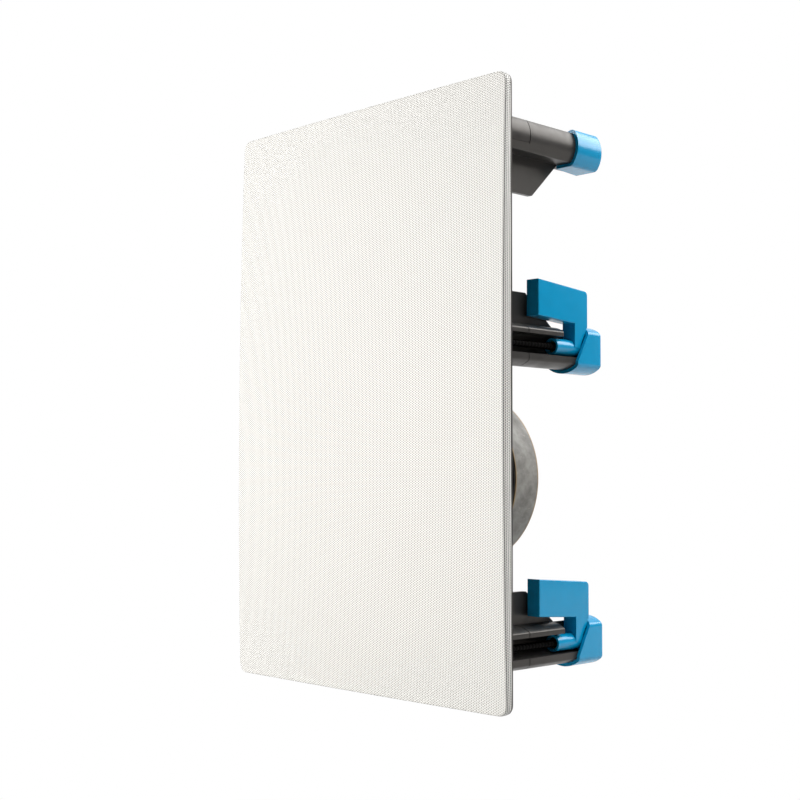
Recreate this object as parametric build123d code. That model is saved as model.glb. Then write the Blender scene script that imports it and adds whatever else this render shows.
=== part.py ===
from build123d import *
import os
from math import cos, radians, sin, sqrt, tan

# In-wall two-way speaker in millimetres.
# X runs to the right seen from the room, Y runs into the wall, Z runs up.
# The origin is the middle of the frame's wall face, so the room is at negative Y.

# Grille sheet
GRILLE_WIDTH = 209.0
GRILLE_HEIGHT = 316.0
GRILLE_SHEET = 0.8
GRILLE_CORNER = 5.5
GRILLE_FOLD = 1.2
GRILLE_EDGE_DEPTH = 4.8
CROWN_RADIUS = 5000.0
GRILLE_SEAT_GAP = 0.2
GRILLE_SIDE_GAP = 0.4
GRILLE_BEZEL_GAP = 0.6

# Frame flange, skirt and baffle
LIP_THICK = 1.0
LIP_INSET = 0.2
FLANGE_OVERLAP = 11.5
CUTOUT_GAP = 1.0
SKIRT_WALL = 2.4
SKIRT_DEPTH = 10.0
SKIRT_CORNER = 6.0
BAFFLE_FRONT = 5.0
BAFFLE_THICK = 3.0
COLLAR_WALL = 3.5
COLLAR_DEPTH = 5.0
CROSS_RIB_WALL = 2.0
CROSS_RIB_DEPTH = 4.0

# Disc magnets that hold the grille
MAGNET_RADIUS = 4.0
MAGNET_THICK = 2.8
MAGNET_GAP = 0.3
SIDE_MAGNET_RISE = 125.0
END_MAGNET_REACH = 70.0

# Clamp towers, measured from each screw's axis
TOWER_FACE = 4.85
TOWER_BACK = 11.6
TOWER_HIGH = 10.5
TOWER_LOW = 11.6
TOWER_CROWN = 2.9
TOWER_CORNER = 1.2
TOWER_END = 86.0
CHANNEL_RADIUS = 5.2
CHANNEL_FLOOR = 4.0
LIP_END = 58.0
PARTING_DEPTH = 0.3
PARTING_WIDTH = 0.5
PARTING_END = 30.0
PARTING_BAND = 12.7
GUSSET_WALL = 2.5
GUSSET_ROUND = 1.8
BESIDE_HEIGHT = 17.0
BESIDE_FULL = 38.5
BESIDE_END = 60.5
BEHIND_HEIGHT = 19.9
BEHIND_FULL = 44.5
BEHIND_END = 65.5
BEHIND_RISE = 2.7

# Places of the towers
TOWER_SETBACK = 2.2
CORNER_SETBACK = 4.7
MID_TOWER_RISE = 26.1
TOP_SIDE_SETBACK = 0.8
TOP_FACE_SETBACK = 3.5

# Caps on the tower ends
CAP_FIT = 0.1
CAP_WALL = 1.8
CAP_END_WALL = 2.4
CAP_END_ROUND = 1.8
RIM_MID = 72.0
RIM_ANGLE = 30.0
RIM_TURN = 7.4
RIM_TAIL_ANGLE = 5.0
CAP_BACK_KEEP = 3.0
BACK_RIM_LOW = 0.9
BACK_RIM_HIGH = 3.9
CAP_BOSS_RADIUS = 4.2
CAP_BOSS_LENGTH = 5.4

# Clamps
HUB_RADIUS = 4.4
HUB_FRONT = 53.5
HUB_BACK = 76.0
ARM_THICK = 8.3
ARM_OFFSET = 0.5
ARM_FRONT = 67.6
ARM_RIM_GAP = 0.5
PADDLE_FRONT = 37.7
PADDLE_BACK = 78.6
PADDLE_LOW_FRONT = 15.0
PADDLE_LOW_BACK = 12.9
PADDLE_HIGH_FRONT = 34.1
PADDLE_HIGH_BACK = 30.9
PADDLE_ROUND = 2.5
CLAMP_EDGE = 0.5

# Threaded inserts and clamp screws
SCREW_RADIUS = 2.0
SCREW_HEAD_RADIUS = 4.0
SCREW_HEAD_HEIGHT = 2.7
SCREW_HEAD_GAP = 0.1
SCREW_TIP_GAP = 0.6
SCREW_HOLE_GAP = 0.08
RECESS_LENGTH = 4.6
RECESS_WIDTH = 1.0
RECESS_DEPTH = 1.6
RUNNING_GAP = 0.05
INSERT_WALL = 1.15
INSERT_INSET = 2.5

# Woofer
WOOFER_GAP_SHARE = 0.4634
WOOFER_FLANGE_RADIUS = 82.0
WOOFER_FLANGE_THICK = 1.5
BASKET_RADIUS = 71.0
BASKET_WALL = 2.0
BASKET_HOLE_GAP = 0.5
BASKET_STRAIGHT = 4.0
BASKET_FLOOR_RADIUS = 47.0
BASKET_FLOOR = 62.0
BASKET_THROAT_RADIUS = 18.5
SPIDER_SEAT = 50.2
SPIDER_SEAT_WIDTH = 4.0
WINDOW_COUNT = 8
WINDOW_WIDTH = 26.0
WINDOW_FRONT = 16.0
WINDOW_BACK = 44.0
WINDOW_ROUND = 5.0
SURROUND_SHEET = 0.8
ROLL_RADIUS = 64.0
ROLL_HALF_WIDTH = 5.0
SURROUND_INNER_LAP = 2.4
SURROUND_OUTER_RADIUS = 74.0
GASKET_THICK = 1.2
CONE_SHEET = 0.9
CONE_NECK_DEPTH = 34.5
COIL_FORMER_RADIUS = 16.5
COIL_FORMER_WALL = 0.6
COIL_FORMER_END = 72.0
COIL_WINDING_THICK = 0.6
COIL_WINDING_FRONT = 58.0
COIL_WINDING_BACK = 70.0
DUST_CAP_RADIUS = 20.0
DUST_CAP_RISE = 8.0
DUST_CAP_SHEET = 0.6
SPIDER_SHEET = 0.6
SPIDER_WAVE = 1.2
SPIDER_WAVE_COUNT = 5
MOTOR_GAP = 0.7
TOP_PLATE_THICK = 5.0
FERRITE_RADIUS = 48.7
FERRITE_HOLE_RADIUS = 25.0
FERRITE_THICK = 19.0
YOKE_RADIUS = 43.5
YOKE_THICK = 4.0
VENT_RADIUS = 5.0
WOOFER_SCREW_CIRCLE = 78.0
WOOFER_SCREW_COUNT = 8

# Tweeter
TWEETER_GAP_SHARE = 0.2906
FACEPLATE_RADIUS = 42.0
FACEPLATE_THICK = 3.0
FACEPLATE_HUB_RADIUS = 33.5
FACEPLATE_HUB_DEPTH = 2.4
FACEPLATE_EDGE = 0.8
HORN_MOUTH_RADIUS = 31.0
HORN_THROAT_RADIUS = 16.0
DOME_RADIUS = 12.7
DOME_RISE = 4.6
DOME_SHEET = 0.4
DOME_ROLL = 1.4
DOME_LIP = 1.6
TWEETER_COIL_WALL = 0.4
TWEETER_COIL_LENGTH = 5.0
TWEETER_GAP = 0.4
TWEETER_PLATE_THICK = 4.0
TWEETER_FERRITE_RADIUS = 34.0
TWEETER_FERRITE_HOLE = 17.0
TWEETER_FERRITE_THICK = 12.0
TWEETER_SCREW_CIRCLE = 38.0
TWEETER_SCREW_COUNT = 4

# Small fixing screws
FIXING_RADIUS = 1.6
FIXING_LENGTH = 9.0
FIXING_HEAD_RADIUS = 3.0
FIXING_HEAD_HEIGHT = 1.8
FIXING_HOLE_GAP = 0.3
FIXING_BOSS_WALL = 2.2
FIXING_BOSS_DEPTH = 6.0

# Crossover board
BOARD_CLAMP_GAP = 9.5
BOARD_WIDTH = 96.0
BOARD_HEIGHT = 64.0
BOARD_THICK = 1.6
BOARD_DEPTH = 44.0
BOARD_POST_RADIUS = 4.0
BOARD_POST_INSET = 4.0
BIG_COIL_RADIUS = 16.0
BIG_COIL_HOLE = 8.0
BIG_COIL_HEIGHT = 15.0
BIG_COIL_PLACE = (-27.0, 14.0)
SMALL_COIL_RADIUS = 12.5
SMALL_COIL_HOLE = 6.0
SMALL_COIL_HEIGHT = 11.0
SMALL_COIL_PLACE = (6.0, 15.5)
TALL_CAPACITOR_RADIUS = 8.0
TALL_CAPACITOR_HEIGHT = 18.0
TALL_CAPACITOR_PLACE = (33.0, 9.0)
FLAT_CAPACITOR_RADIUS = 6.5
FLAT_CAPACITOR_LENGTH = 27.0
FLAT_CAPACITOR_PLACE = (-24.0, -15.5)
CAPACITOR_EDGE = 0.8
RESISTOR_LENGTH = 20.0
RESISTOR_SIDE = 7.0
RESISTOR_EDGE = 0.6
RESISTOR_PLACE = (7.0, -3.0)

# Spring lever terminals on the board
TERMINAL_PLACE = (20.0, -18.5)
TERMINAL_WIDTH = 36.0
TERMINAL_HEIGHT = 21.0
TERMINAL_DEPTH = 13.0
TERMINAL_WALL = 2.0
POCKET_DEPTH = 7.0
LEVER_THICK = 2.4
LEVER_SIDE_GAP = 0.4
LEVER_PIN_RADIUS = 1.0
LEVER_PIN_LENGTH = 1.0
LEVER_BARREL_RADIUS = 1.6
WIRE_SLOT = 3.2


# Sizes that follow from the values above
CUTOUT_WIDTH = GRILLE_WIDTH - 2 * FLANGE_OVERLAP
CUTOUT_HEIGHT = GRILLE_HEIGHT - 2 * FLANGE_OVERLAP
SKIRT_WIDTH = CUTOUT_WIDTH - 2 * CUTOUT_GAP
SKIRT_HEIGHT = CUTOUT_HEIGHT - 2 * CUTOUT_GAP
INNER_WIDTH = SKIRT_WIDTH - 2 * SKIRT_WALL
INNER_HEIGHT = SKIRT_HEIGHT - 2 * SKIRT_WALL
FREE_HEIGHT = INNER_HEIGHT - 2 * (WOOFER_FLANGE_RADIUS + FACEPLATE_RADIUS)
WOOFER_RISE = FREE_HEIGHT * WOOFER_GAP_SHARE + WOOFER_FLANGE_RADIUS - INNER_HEIGHT / 2
TWEETER_RISE = INNER_HEIGHT / 2 - FREE_HEIGHT * TWEETER_GAP_SHARE - FACEPLATE_RADIUS
TOP_TOWER_RISE = SKIRT_HEIGHT / 2 - TOP_FACE_SETBACK - TOWER_FACE
BOARD_TOP = TOP_TOWER_RISE + ARM_OFFSET - ARM_THICK / 2 - BOARD_CLAMP_GAP
BOARD_RISE = BOARD_TOP - BOARD_HEIGHT / 2
BEZEL_INSET = GRILLE_SHEET + GRILLE_SIDE_GAP
BEZEL_WIDTH = GRILLE_WIDTH - 2 * BEZEL_INSET
BEZEL_HEIGHT = GRILLE_HEIGHT - 2 * BEZEL_INSET
BEZEL_FRONT = GRILLE_SHEET + GRILLE_BEZEL_GAP - GRILLE_EDGE_DEPTH
BAFFLE_BACK = BAFFLE_FRONT + BAFFLE_THICK
CORNER_SPAN = sqrt(GRILLE_WIDTH ** 2 + GRILLE_HEIGHT ** 2) / 2
CROWN_CENTRE = sqrt(CROWN_RADIUS ** 2 - CORNER_SPAN ** 2) - GRILLE_EDGE_DEPTH
CAP_BACK = TOWER_END + CAP_END_WALL
SCREW_TIP = TOWER_END - SCREW_TIP_GAP
INSERT_BORE = SCREW_RADIUS + RUNNING_GAP
INSERT_RADIUS = INSERT_BORE + INSERT_WALL
WOOFER_HOLE = BASKET_RADIUS + BASKET_HOLE_GAP
TWEETER_HOLE = FACEPLATE_HUB_RADIUS + BASKET_HOLE_GAP
FLANGE_FRONT = BAFFLE_FRONT - WOOFER_FLANGE_THICK
FERRITE_FRONT = BASKET_FLOOR + TOP_PLATE_THICK
FERRITE_BACK = FERRITE_FRONT + FERRITE_THICK
COIL_OUTSIDE = COIL_FORMER_RADIUS + COIL_WINDING_THICK
POLE_RADIUS = COIL_FORMER_RADIUS - COIL_FORMER_WALL - MOTOR_GAP
HUB_FACE = BAFFLE_FRONT + FACEPLATE_HUB_DEPTH
TWEETER_PLATE_BACK = HUB_FACE + TWEETER_PLATE_THICK
TWEETER_FERRITE_BACK = TWEETER_PLATE_BACK + TWEETER_FERRITE_THICK
TWEETER_COIL_OUTSIDE = DOME_RADIUS + TWEETER_COIL_WALL
BOARD_BACK = BOARD_DEPTH + BOARD_THICK
TERMINAL_BACK = BOARD_BACK + TERMINAL_DEPTH
LEVER_BACK = TERMINAL_BACK
LEVER_FRONT = LEVER_BACK - LEVER_THICK


# Helpers
def slab(outline, front, back):
    """Solid of an outline drawn in X and Z, from depth front to depth back."""
    return extrude(Plane.XZ.offset(-front) * outline, amount=front - back)


def disc(radius, front, back):
    """Round slab about the Y axis."""
    return slab(Circle(radius), front, back)


def ring(outer, inner, front, back):
    """Round slab about the Y axis with a hole."""
    return slab(Circle(outer) - Circle(inner), front, back)


def turned(points):
    """Solid turned about the Y axis from corners given as radius and depth."""
    return revolve(make_face(Polyline(*points, close=True)), axis=Axis.Y)


def at(place, solid):
    """Solid moved across the baffle by an X and Z place."""
    return Pos(place[0], 0, place[1]) * solid


def round_places(radius, count, first_angle):
    """X and Z places spaced evenly on a circle."""
    step = 360 / count
    angles = [radians(first_angle + step * i) for i in range(count)]
    return [(radius * cos(angle), radius * sin(angle)) for angle in angles]


def group(solids):
    """One node of separate like solids."""
    return Compound(children=list(solids))


# Grille
def crown_depth(x, z, sheet_offset):
    """Depth of the grille's crowned face at a place, a given distance inside the sheet."""
    return CROWN_CENTRE - sqrt((CROWN_RADIUS - sheet_offset) ** 2 - x ** 2 - z ** 2)


def crowned_block(inset, fold):
    """Block with the grille's outline and crown, drawn in by an inset, with a rounded front."""
    outline = RectangleRounded(
        GRILLE_WIDTH - 2 * inset, GRILLE_HEIGHT - 2 * inset, GRILLE_CORNER - inset
    )
    back = -LIP_THICK - GRILLE_SEAT_GAP
    block = slab(outline, crown_depth(0, 0, 0) - GRILLE_SHEET, back)
    block &= Pos(0, CROWN_CENTRE, 0) * Sphere(CROWN_RADIUS - inset)
    front = block.faces().sort_by(Axis.Y)[0]
    return fillet(front.edges(), fold)


def make_grille():
    return crowned_block(0, GRILLE_FOLD) - crowned_block(GRILLE_SHEET, GRILLE_FOLD - GRILLE_SHEET)


def grille_magnet_places():
    """Places of the magnets in the middle of the flange, along its sides and its ends."""
    side = (BEZEL_WIDTH + INNER_WIDTH) / 4
    end = (BEZEL_HEIGHT + INNER_HEIGHT) / 4
    corners = [(x, z) for x in (-1, 1) for z in (-1, 1)]
    sides = [(side * x, SIDE_MAGNET_RISE * z) for x, z in corners]
    ends = [(END_MAGNET_REACH * x, end * z) for x, z in corners]
    return sides + ends


def grille_magnet_front(place):
    """Depth of a magnet's face, just clear of the grille at the magnet's outer edge."""
    span = sqrt(place[0] ** 2 + place[1] ** 2) + MAGNET_RADIUS
    return crown_depth(span, 0, GRILLE_SHEET) + MAGNET_GAP


def make_grille_magnets():
    discs = []
    for place in grille_magnet_places():
        front = grille_magnet_front(place)
        discs.append(at(place, disc(MAGNET_RADIUS, front, front + MAGNET_THICK)))
    return group(discs)


# Clamp towers, caps and clamps, each built about its own screw with the slot facing +X
def tower_places():
    """Place of each screw and the turn about Y that points its slot to the cut-out's edge."""
    side = SKIRT_WIDTH / 2 - TOWER_SETBACK - TOWER_FACE
    low = SKIRT_HEIGHT / 2 - CORNER_SETBACK - TOWER_LOW
    top_x = SKIRT_WIDTH / 2 - TOP_SIDE_SETBACK - TOWER_LOW
    mid_left = MID_TOWER_RISE + TOWER_HIGH - TOWER_LOW
    return [
        ((side, MID_TOWER_RISE), 0),
        ((side, -low), 0),
        ((top_x, TOP_TOWER_RISE), -90),
        ((-side, mid_left), 180),
        ((-side, low), 180),
        ((-top_x, -TOP_TOWER_RISE), 90),
    ]


def on_tower(tower, solid):
    """Solid built about a screw, turned and moved to its tower."""
    place, turn = tower
    return at(place, Rot(0, turn, 0) * solid)


def tower_outline():
    """Section of a tower: flat at the slot and behind, and crowned at its two ends."""
    middle = (TOWER_FACE - TOWER_BACK) / 2
    low = TOWER_CROWN - TOWER_LOW
    high = TOWER_HIGH - TOWER_CROWN
    edges = [
        Line((TOWER_FACE, low), (TOWER_FACE, high)),
        ThreePointArc((TOWER_FACE, high), (middle, TOWER_HIGH), (-TOWER_BACK, high)),
        Line((-TOWER_BACK, high), (-TOWER_BACK, low)),
        ThreePointArc((-TOWER_BACK, low), (middle, -TOWER_LOW), (TOWER_FACE, low)),
    ]
    outline = make_face(edges)
    return fillet(outline.vertices(), TOWER_CORNER)


def span_rectangle(x_low, x_high, z_low, z_high):
    """Rectangle given by its limits."""
    centre = Pos((x_low + x_high) / 2, (z_low + z_high) / 2)
    return centre * Rectangle(x_high - x_low, z_high - z_low)


def gusset_outline(wall, height, full, end):
    """Web that runs out from a tower wall and is cut back from its full height to its end."""
    corners = [
        (BAFFLE_FRONT, wall - GUSSET_WALL),
        (end, wall - GUSSET_WALL),
        (end, wall),
        (full, wall + height),
        (BAFFLE_FRONT, wall + height),
    ]
    web = make_face(Polyline(*corners, close=True))
    tip = web.vertices().sort_by_distance((full, wall + height))[0]
    return fillet(tip, GUSSET_ROUND)


def make_gussets():
    """One web beside the stowed paddle and one behind the tower."""
    beside = gusset_outline(TOWER_HIGH, BESIDE_HEIGHT, BESIDE_FULL, BESIDE_END)
    beside = extrude(Plane.YZ.offset(-CHANNEL_RADIUS) * beside, amount=-GUSSET_WALL)
    behind = gusset_outline(TOWER_BACK, BEHIND_HEIGHT, BEHIND_FULL, BEHIND_END)
    behind_plane = Plane((0, 0, BEHIND_RISE), x_dir=(0, 1, 0), z_dir=(0, 0, 1))
    return beside + extrude(behind_plane * behind, amount=-GUSSET_WALL)


def make_tower():
    """C-section tower with its clamp channel and the way that the arm swings through."""
    outline = tower_outline()
    tower = slab(outline, BAFFLE_FRONT, TOWER_END) + make_gussets()
    slot = Circle(CHANNEL_RADIUS)
    slot += span_rectangle(0, TOWER_FACE + CHANNEL_RADIUS, -CHANNEL_RADIUS, CHANNEL_RADIUS)
    tower -= slab(slot, BAFFLE_BACK + CHANNEL_FLOOR, TOWER_END)
    way = span_rectangle(
        -CHANNEL_RADIUS, TOWER_FACE + CHANNEL_RADIUS, -CHANNEL_RADIUS, TOWER_HIGH + CHANNEL_RADIUS
    )
    tower -= slab(way, LIP_END, TOWER_END)
    skin = outline - offset(outline, -PARTING_DEPTH)
    band_start = TOWER_FACE - PARTING_BAND
    across = skin & span_rectangle(band_start, TOWER_FACE, -TOWER_LOW, TOWER_HIGH)
    along = skin & span_rectangle(band_start, band_start + PARTING_WIDTH, -TOWER_LOW, 0)
    tower -= slab(across, PARTING_END - PARTING_WIDTH, PARTING_END)
    return tower - slab(along, SKIRT_DEPTH, PARTING_END)


def rim_depth(reach):
    """Depth of the cap's ramped rim at a distance towards the stowed paddle."""
    return RIM_MID + reach * tan(radians(RIM_ANGLE))


def make_cap():
    """Cup over the tower's end, with a rim that ramps round the side the arm swings past."""
    outside = offset(tower_outline(), CAP_FIT + CAP_WALL)
    face = TOWER_FACE + CAP_FIT + CAP_WALL
    back = TOWER_BACK + CAP_FIT + CAP_WALL
    tail = tan(radians(RIM_TAIL_ANGLE))
    turn_depth = rim_depth(-RIM_TURN)
    cup_front = turn_depth - (face + back) * tail
    cup = slab(outside, cup_front, CAP_BACK)
    cup = fillet(cup.faces().sort_by(Axis.Y)[-1].edges(), CAP_END_ROUND)
    cup -= slab(offset(tower_outline(), CAP_FIT), cup_front, TOWER_END)
    top = TOWER_HIGH + 2 * CAP_WALL
    ramp = Polyline(
        (cup_front, -RIM_TURN),
        (turn_depth, -RIM_TURN),
        (rim_depth(top), top),
        (cup_front, top),
        close=True,
    )
    ramp_start = CAP_BACK_KEEP - TOWER_BACK
    cup -= extrude(Plane.YZ.offset(ramp_start) * make_face(ramp), amount=face - ramp_start)
    back_ramp = Polyline(
        (cup_front, BACK_RIM_LOW),
        (CAP_BACK, BACK_RIM_HIGH),
        (CAP_BACK, top),
        (cup_front, top),
        close=True,
    )
    cup -= extrude(Plane.YZ.offset(-back) * make_face(back_ramp), amount=back + ramp_start)
    tail_cut = Polyline((-back, cup_front), (face, cup_front), (face, turn_depth), close=True)
    tail_low = -TOWER_LOW - 2 * CAP_WALL
    cup -= extrude(Plane.XY.offset(tail_low) * make_face(tail_cut), amount=-RIM_TURN - tail_low)
    boss = disc(CAP_BOSS_RADIUS, TOWER_END - CAP_BOSS_LENGTH, TOWER_END)
    return cup + boss - disc(INSERT_BORE, TOWER_END - CAP_BOSS_LENGTH, TOWER_END)


def make_clamp():
    """Hub, arm and forward paddle, stowed towards +Z."""
    knee = (PADDLE_BACK + ARM_RIM_GAP - RIM_MID) / tan(radians(RIM_ANGLE))
    outline = Polyline(
        (ARM_FRONT, 0),
        (ARM_FRONT, PADDLE_LOW_BACK),
        (PADDLE_FRONT, PADDLE_LOW_FRONT),
        (PADDLE_FRONT, PADDLE_HIGH_FRONT),
        (PADDLE_BACK, PADDLE_HIGH_BACK),
        (PADDLE_BACK, knee),
        (RIM_MID - ARM_RIM_GAP, 0),
        close=True,
    )
    profile = make_face(outline)
    corner = profile.vertices().sort_by_distance((PADDLE_BACK, PADDLE_HIGH_BACK))[0]
    profile = fillet(corner, PADDLE_ROUND)
    arm_side = ARM_OFFSET - ARM_THICK / 2
    arm = extrude(Plane.YZ.offset(arm_side) * profile, amount=ARM_THICK)
    sides = arm.faces().filter_by(Axis.X)
    rounded = [edge for edge in sides.edges() if edge.center().Z > PADDLE_LOW_BACK]
    arm = fillet(rounded, CLAMP_EDGE)
    hub = disc(HUB_RADIUS, HUB_FRONT, HUB_BACK)
    return arm + hub - disc(INSERT_RADIUS + RUNNING_GAP, HUB_FRONT, HUB_BACK)


def make_insert():
    """Threaded sleeve in the clamp's hub."""
    return ring(INSERT_RADIUS, INSERT_BORE, HUB_FRONT + INSERT_INSET, HUB_BACK - INSERT_INSET)


def make_clamp_screw():
    """Long screw with a crosshead that faces the room."""
    seat = BAFFLE_FRONT - SCREW_HEAD_GAP
    face = seat - SCREW_HEAD_HEIGHT
    head = disc(SCREW_HEAD_RADIUS, face, seat)
    head = fillet(head.edges().sort_by(Axis.Y)[0], SCREW_HEAD_HEIGHT / 3)
    cross = Rectangle(RECESS_LENGTH, RECESS_WIDTH) + Rectangle(RECESS_WIDTH, RECESS_LENGTH)
    head -= slab(cross, face, face + RECESS_DEPTH)
    return head + disc(SCREW_RADIUS, seat, SCREW_TIP)


# Small fixing screws
def fixing_screw(seat, direction):
    """Pan head screw driven along Y, with its head on a seat and its shank in the direction."""
    head_face = seat - direction * FIXING_HEAD_HEIGHT
    tip = seat + direction * FIXING_LENGTH
    head = disc(FIXING_HEAD_RADIUS, min(seat, head_face), max(seat, head_face))
    return head + disc(FIXING_RADIUS, min(seat, tip), max(seat, tip))


def woofer_screw_places():
    circle = round_places(WOOFER_SCREW_CIRCLE, WOOFER_SCREW_COUNT, 180 / WOOFER_SCREW_COUNT)
    return [(x, z + WOOFER_RISE) for x, z in circle]


def tweeter_screw_places():
    circle = round_places(TWEETER_SCREW_CIRCLE, TWEETER_SCREW_COUNT, 180 / TWEETER_SCREW_COUNT)
    return [(x, z + TWEETER_RISE) for x, z in circle]


def board_screw_places():
    x = BOARD_WIDTH / 2 - BOARD_POST_INSET
    z = BOARD_HEIGHT / 2 - BOARD_POST_INSET
    return [(x * i, BOARD_RISE + z * j) for i in (-1, 1) for j in (-1, 1)]


# Frame
def make_frame():
    """One moulding: flange, skirt, baffle, collars, posts and six clamp towers."""
    lip_inset = 2 * LIP_INSET
    frame = slab(
        RectangleRounded(
            GRILLE_WIDTH - lip_inset, GRILLE_HEIGHT - lip_inset, GRILLE_CORNER - LIP_INSET
        ),
        -LIP_THICK,
        0,
    )
    bezel = RectangleRounded(BEZEL_WIDTH, BEZEL_HEIGHT, GRILLE_CORNER - BEZEL_INSET)
    inside = RectangleRounded(INNER_WIDTH, INNER_HEIGHT, SKIRT_CORNER - SKIRT_WALL)
    frame += slab(bezel, BEZEL_FRONT, 0)
    frame += slab(RectangleRounded(SKIRT_WIDTH, SKIRT_HEIGHT, SKIRT_CORNER), 0, SKIRT_DEPTH)
    frame -= slab(inside, BEZEL_FRONT, BAFFLE_FRONT)
    frame -= slab(inside, BAFFLE_BACK, SKIRT_DEPTH)

    woofer = (0, WOOFER_RISE)
    tweeter = (0, TWEETER_RISE)
    collar_back = BAFFLE_BACK + COLLAR_DEPTH
    frame += at(woofer, disc(WOOFER_HOLE + COLLAR_WALL, BAFFLE_FRONT, collar_back))
    frame += at(tweeter, disc(TWEETER_HOLE + COLLAR_WALL, BAFFLE_FRONT, collar_back))
    rib_height = WOOFER_RISE + WOOFER_HOLE + COLLAR_WALL - CROSS_RIB_WALL / 2
    rib = span_rectangle(-INNER_WIDTH / 2, INNER_WIDTH / 2, rib_height, rib_height + CROSS_RIB_WALL)
    frame += slab(rib, BAFFLE_FRONT, BAFFLE_BACK + CROSS_RIB_DEPTH)

    boss_radius = FIXING_RADIUS + FIXING_BOSS_WALL
    fixings = woofer_screw_places() + tweeter_screw_places()
    for place in fixings:
        frame += at(place, disc(boss_radius, BAFFLE_FRONT, BAFFLE_BACK + FIXING_BOSS_DEPTH))
    for place in board_screw_places():
        frame += at(place, disc(BOARD_POST_RADIUS, BAFFLE_FRONT, BOARD_DEPTH))
    tower = make_tower()
    for spot in tower_places():
        frame += on_tower(spot, tower)

    frame -= at(woofer, disc(WOOFER_HOLE, BAFFLE_FRONT, collar_back))
    frame -= at(tweeter, disc(TWEETER_HOLE, BAFFLE_FRONT, collar_back))
    for place in woofer_screw_places():
        frame -= at(place, disc(FIXING_RADIUS, BAFFLE_FRONT, FLANGE_FRONT + FIXING_LENGTH))
    for place in tweeter_screw_places():
        seat = BAFFLE_FRONT - FACEPLATE_THICK
        frame -= at(place, disc(FIXING_RADIUS, BAFFLE_FRONT, seat + FIXING_LENGTH))
    for place in board_screw_places():
        frame -= at(place, disc(FIXING_RADIUS, BOARD_BACK - FIXING_LENGTH, BOARD_DEPTH))
    bore = disc(SCREW_RADIUS + SCREW_HOLE_GAP, BAFFLE_FRONT, BAFFLE_BACK + CHANNEL_FLOOR)
    for place, turn in tower_places():
        frame -= at(place, bore)
    for place in grille_magnet_places():
        pocket_floor = grille_magnet_front(place) + MAGNET_THICK
        frame -= at(place, disc(MAGNET_RADIUS, BEZEL_FRONT, pocket_floor))
    return frame


# Woofer, built about the Y axis
def make_basket():
    """Pressed basket with a flange, a windowed cone wall, a spider seat and a floor."""
    wall_radius = BASKET_FLOOR_RADIUS - BASKET_WALL
    straight_end = BAFFLE_FRONT + BASKET_STRAIGHT
    corners = [
        (BASKET_RADIUS - BASKET_WALL, FLANGE_FRONT),
        (WOOFER_FLANGE_RADIUS, FLANGE_FRONT),
        (WOOFER_FLANGE_RADIUS, BAFFLE_FRONT),
        (BASKET_RADIUS, BAFFLE_FRONT),
        (BASKET_RADIUS, straight_end),
        (BASKET_FLOOR_RADIUS, SPIDER_SEAT),
        (BASKET_FLOOR_RADIUS, BASKET_FLOOR),
        (BASKET_THROAT_RADIUS, BASKET_FLOOR),
        (BASKET_THROAT_RADIUS, BASKET_FLOOR - BASKET_WALL),
        (wall_radius, BASKET_FLOOR - BASKET_WALL),
        (wall_radius, SPIDER_SEAT + BASKET_WALL),
        (wall_radius - SPIDER_SEAT_WIDTH, SPIDER_SEAT + BASKET_WALL),
        (wall_radius - SPIDER_SEAT_WIDTH, SPIDER_SEAT),
        (wall_radius, SPIDER_SEAT),
        (BASKET_RADIUS - BASKET_WALL, straight_end),
    ]
    basket = turned(corners)
    window = RectangleRounded(WINDOW_WIDTH, WINDOW_BACK - WINDOW_FRONT, WINDOW_ROUND)
    window_plane = Plane((0, (WINDOW_FRONT + WINDOW_BACK) / 2, 0), x_dir=(1, 0, 0), z_dir=(0, 0, 1))
    opening = extrude(window_plane * window, amount=BASKET_RADIUS)
    for i in range(WINDOW_COUNT):
        basket -= Rot(0, 360 / WINDOW_COUNT * i, 0) * opening
    hole = disc(FIXING_RADIUS + FIXING_HOLE_GAP, FLANGE_FRONT, BAFFLE_FRONT)
    for x, z in woofer_screw_places():
        basket -= at((x, z - WOOFER_RISE), hole)
    return basket


def surround_lap_front():
    return FLANGE_FRONT - SURROUND_SHEET


def make_surround():
    """Half-roll rubber edge with flat laps on the cone and on the flange."""
    front = surround_lap_front()
    inner = ROLL_RADIUS - ROLL_HALF_WIDTH
    outer = ROLL_RADIUS + ROLL_HALF_WIDTH
    roll = Circle(ROLL_HALF_WIDTH) - Circle(ROLL_HALF_WIDTH - SURROUND_SHEET)
    roll &= span_rectangle(-ROLL_HALF_WIDTH, ROLL_HALF_WIDTH, -ROLL_HALF_WIDTH, 0)
    profile = Pos(ROLL_RADIUS, FLANGE_FRONT) * roll
    profile += span_rectangle(inner - SURROUND_INNER_LAP, inner + SURROUND_SHEET, front, FLANGE_FRONT)
    profile += span_rectangle(outer - SURROUND_SHEET, SURROUND_OUTER_RADIUS, front, FLANGE_FRONT)
    return revolve(profile, axis=Axis.Y)


def make_gasket():
    """Flat ring on the surround's outer lap."""
    back = surround_lap_front()
    return ring(SURROUND_OUTER_RADIUS, ROLL_RADIUS + ROLL_HALF_WIDTH, back - GASKET_THICK, back)


def cone_front_depth(radius):
    """Depth of the cone's front face at a radius."""
    edge = ROLL_RADIUS - ROLL_HALF_WIDTH
    share = (edge - radius) / (edge - COIL_FORMER_RADIUS)
    return FLANGE_FRONT + share * (CONE_NECK_DEPTH - FLANGE_FRONT)


def make_cone():
    edge = ROLL_RADIUS - ROLL_HALF_WIDTH
    return turned(
        [
            (edge, FLANGE_FRONT),
            (edge, FLANGE_FRONT + CONE_SHEET),
            (COIL_FORMER_RADIUS, CONE_NECK_DEPTH + CONE_SHEET),
            (COIL_FORMER_RADIUS, CONE_NECK_DEPTH),
        ]
    )


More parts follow.
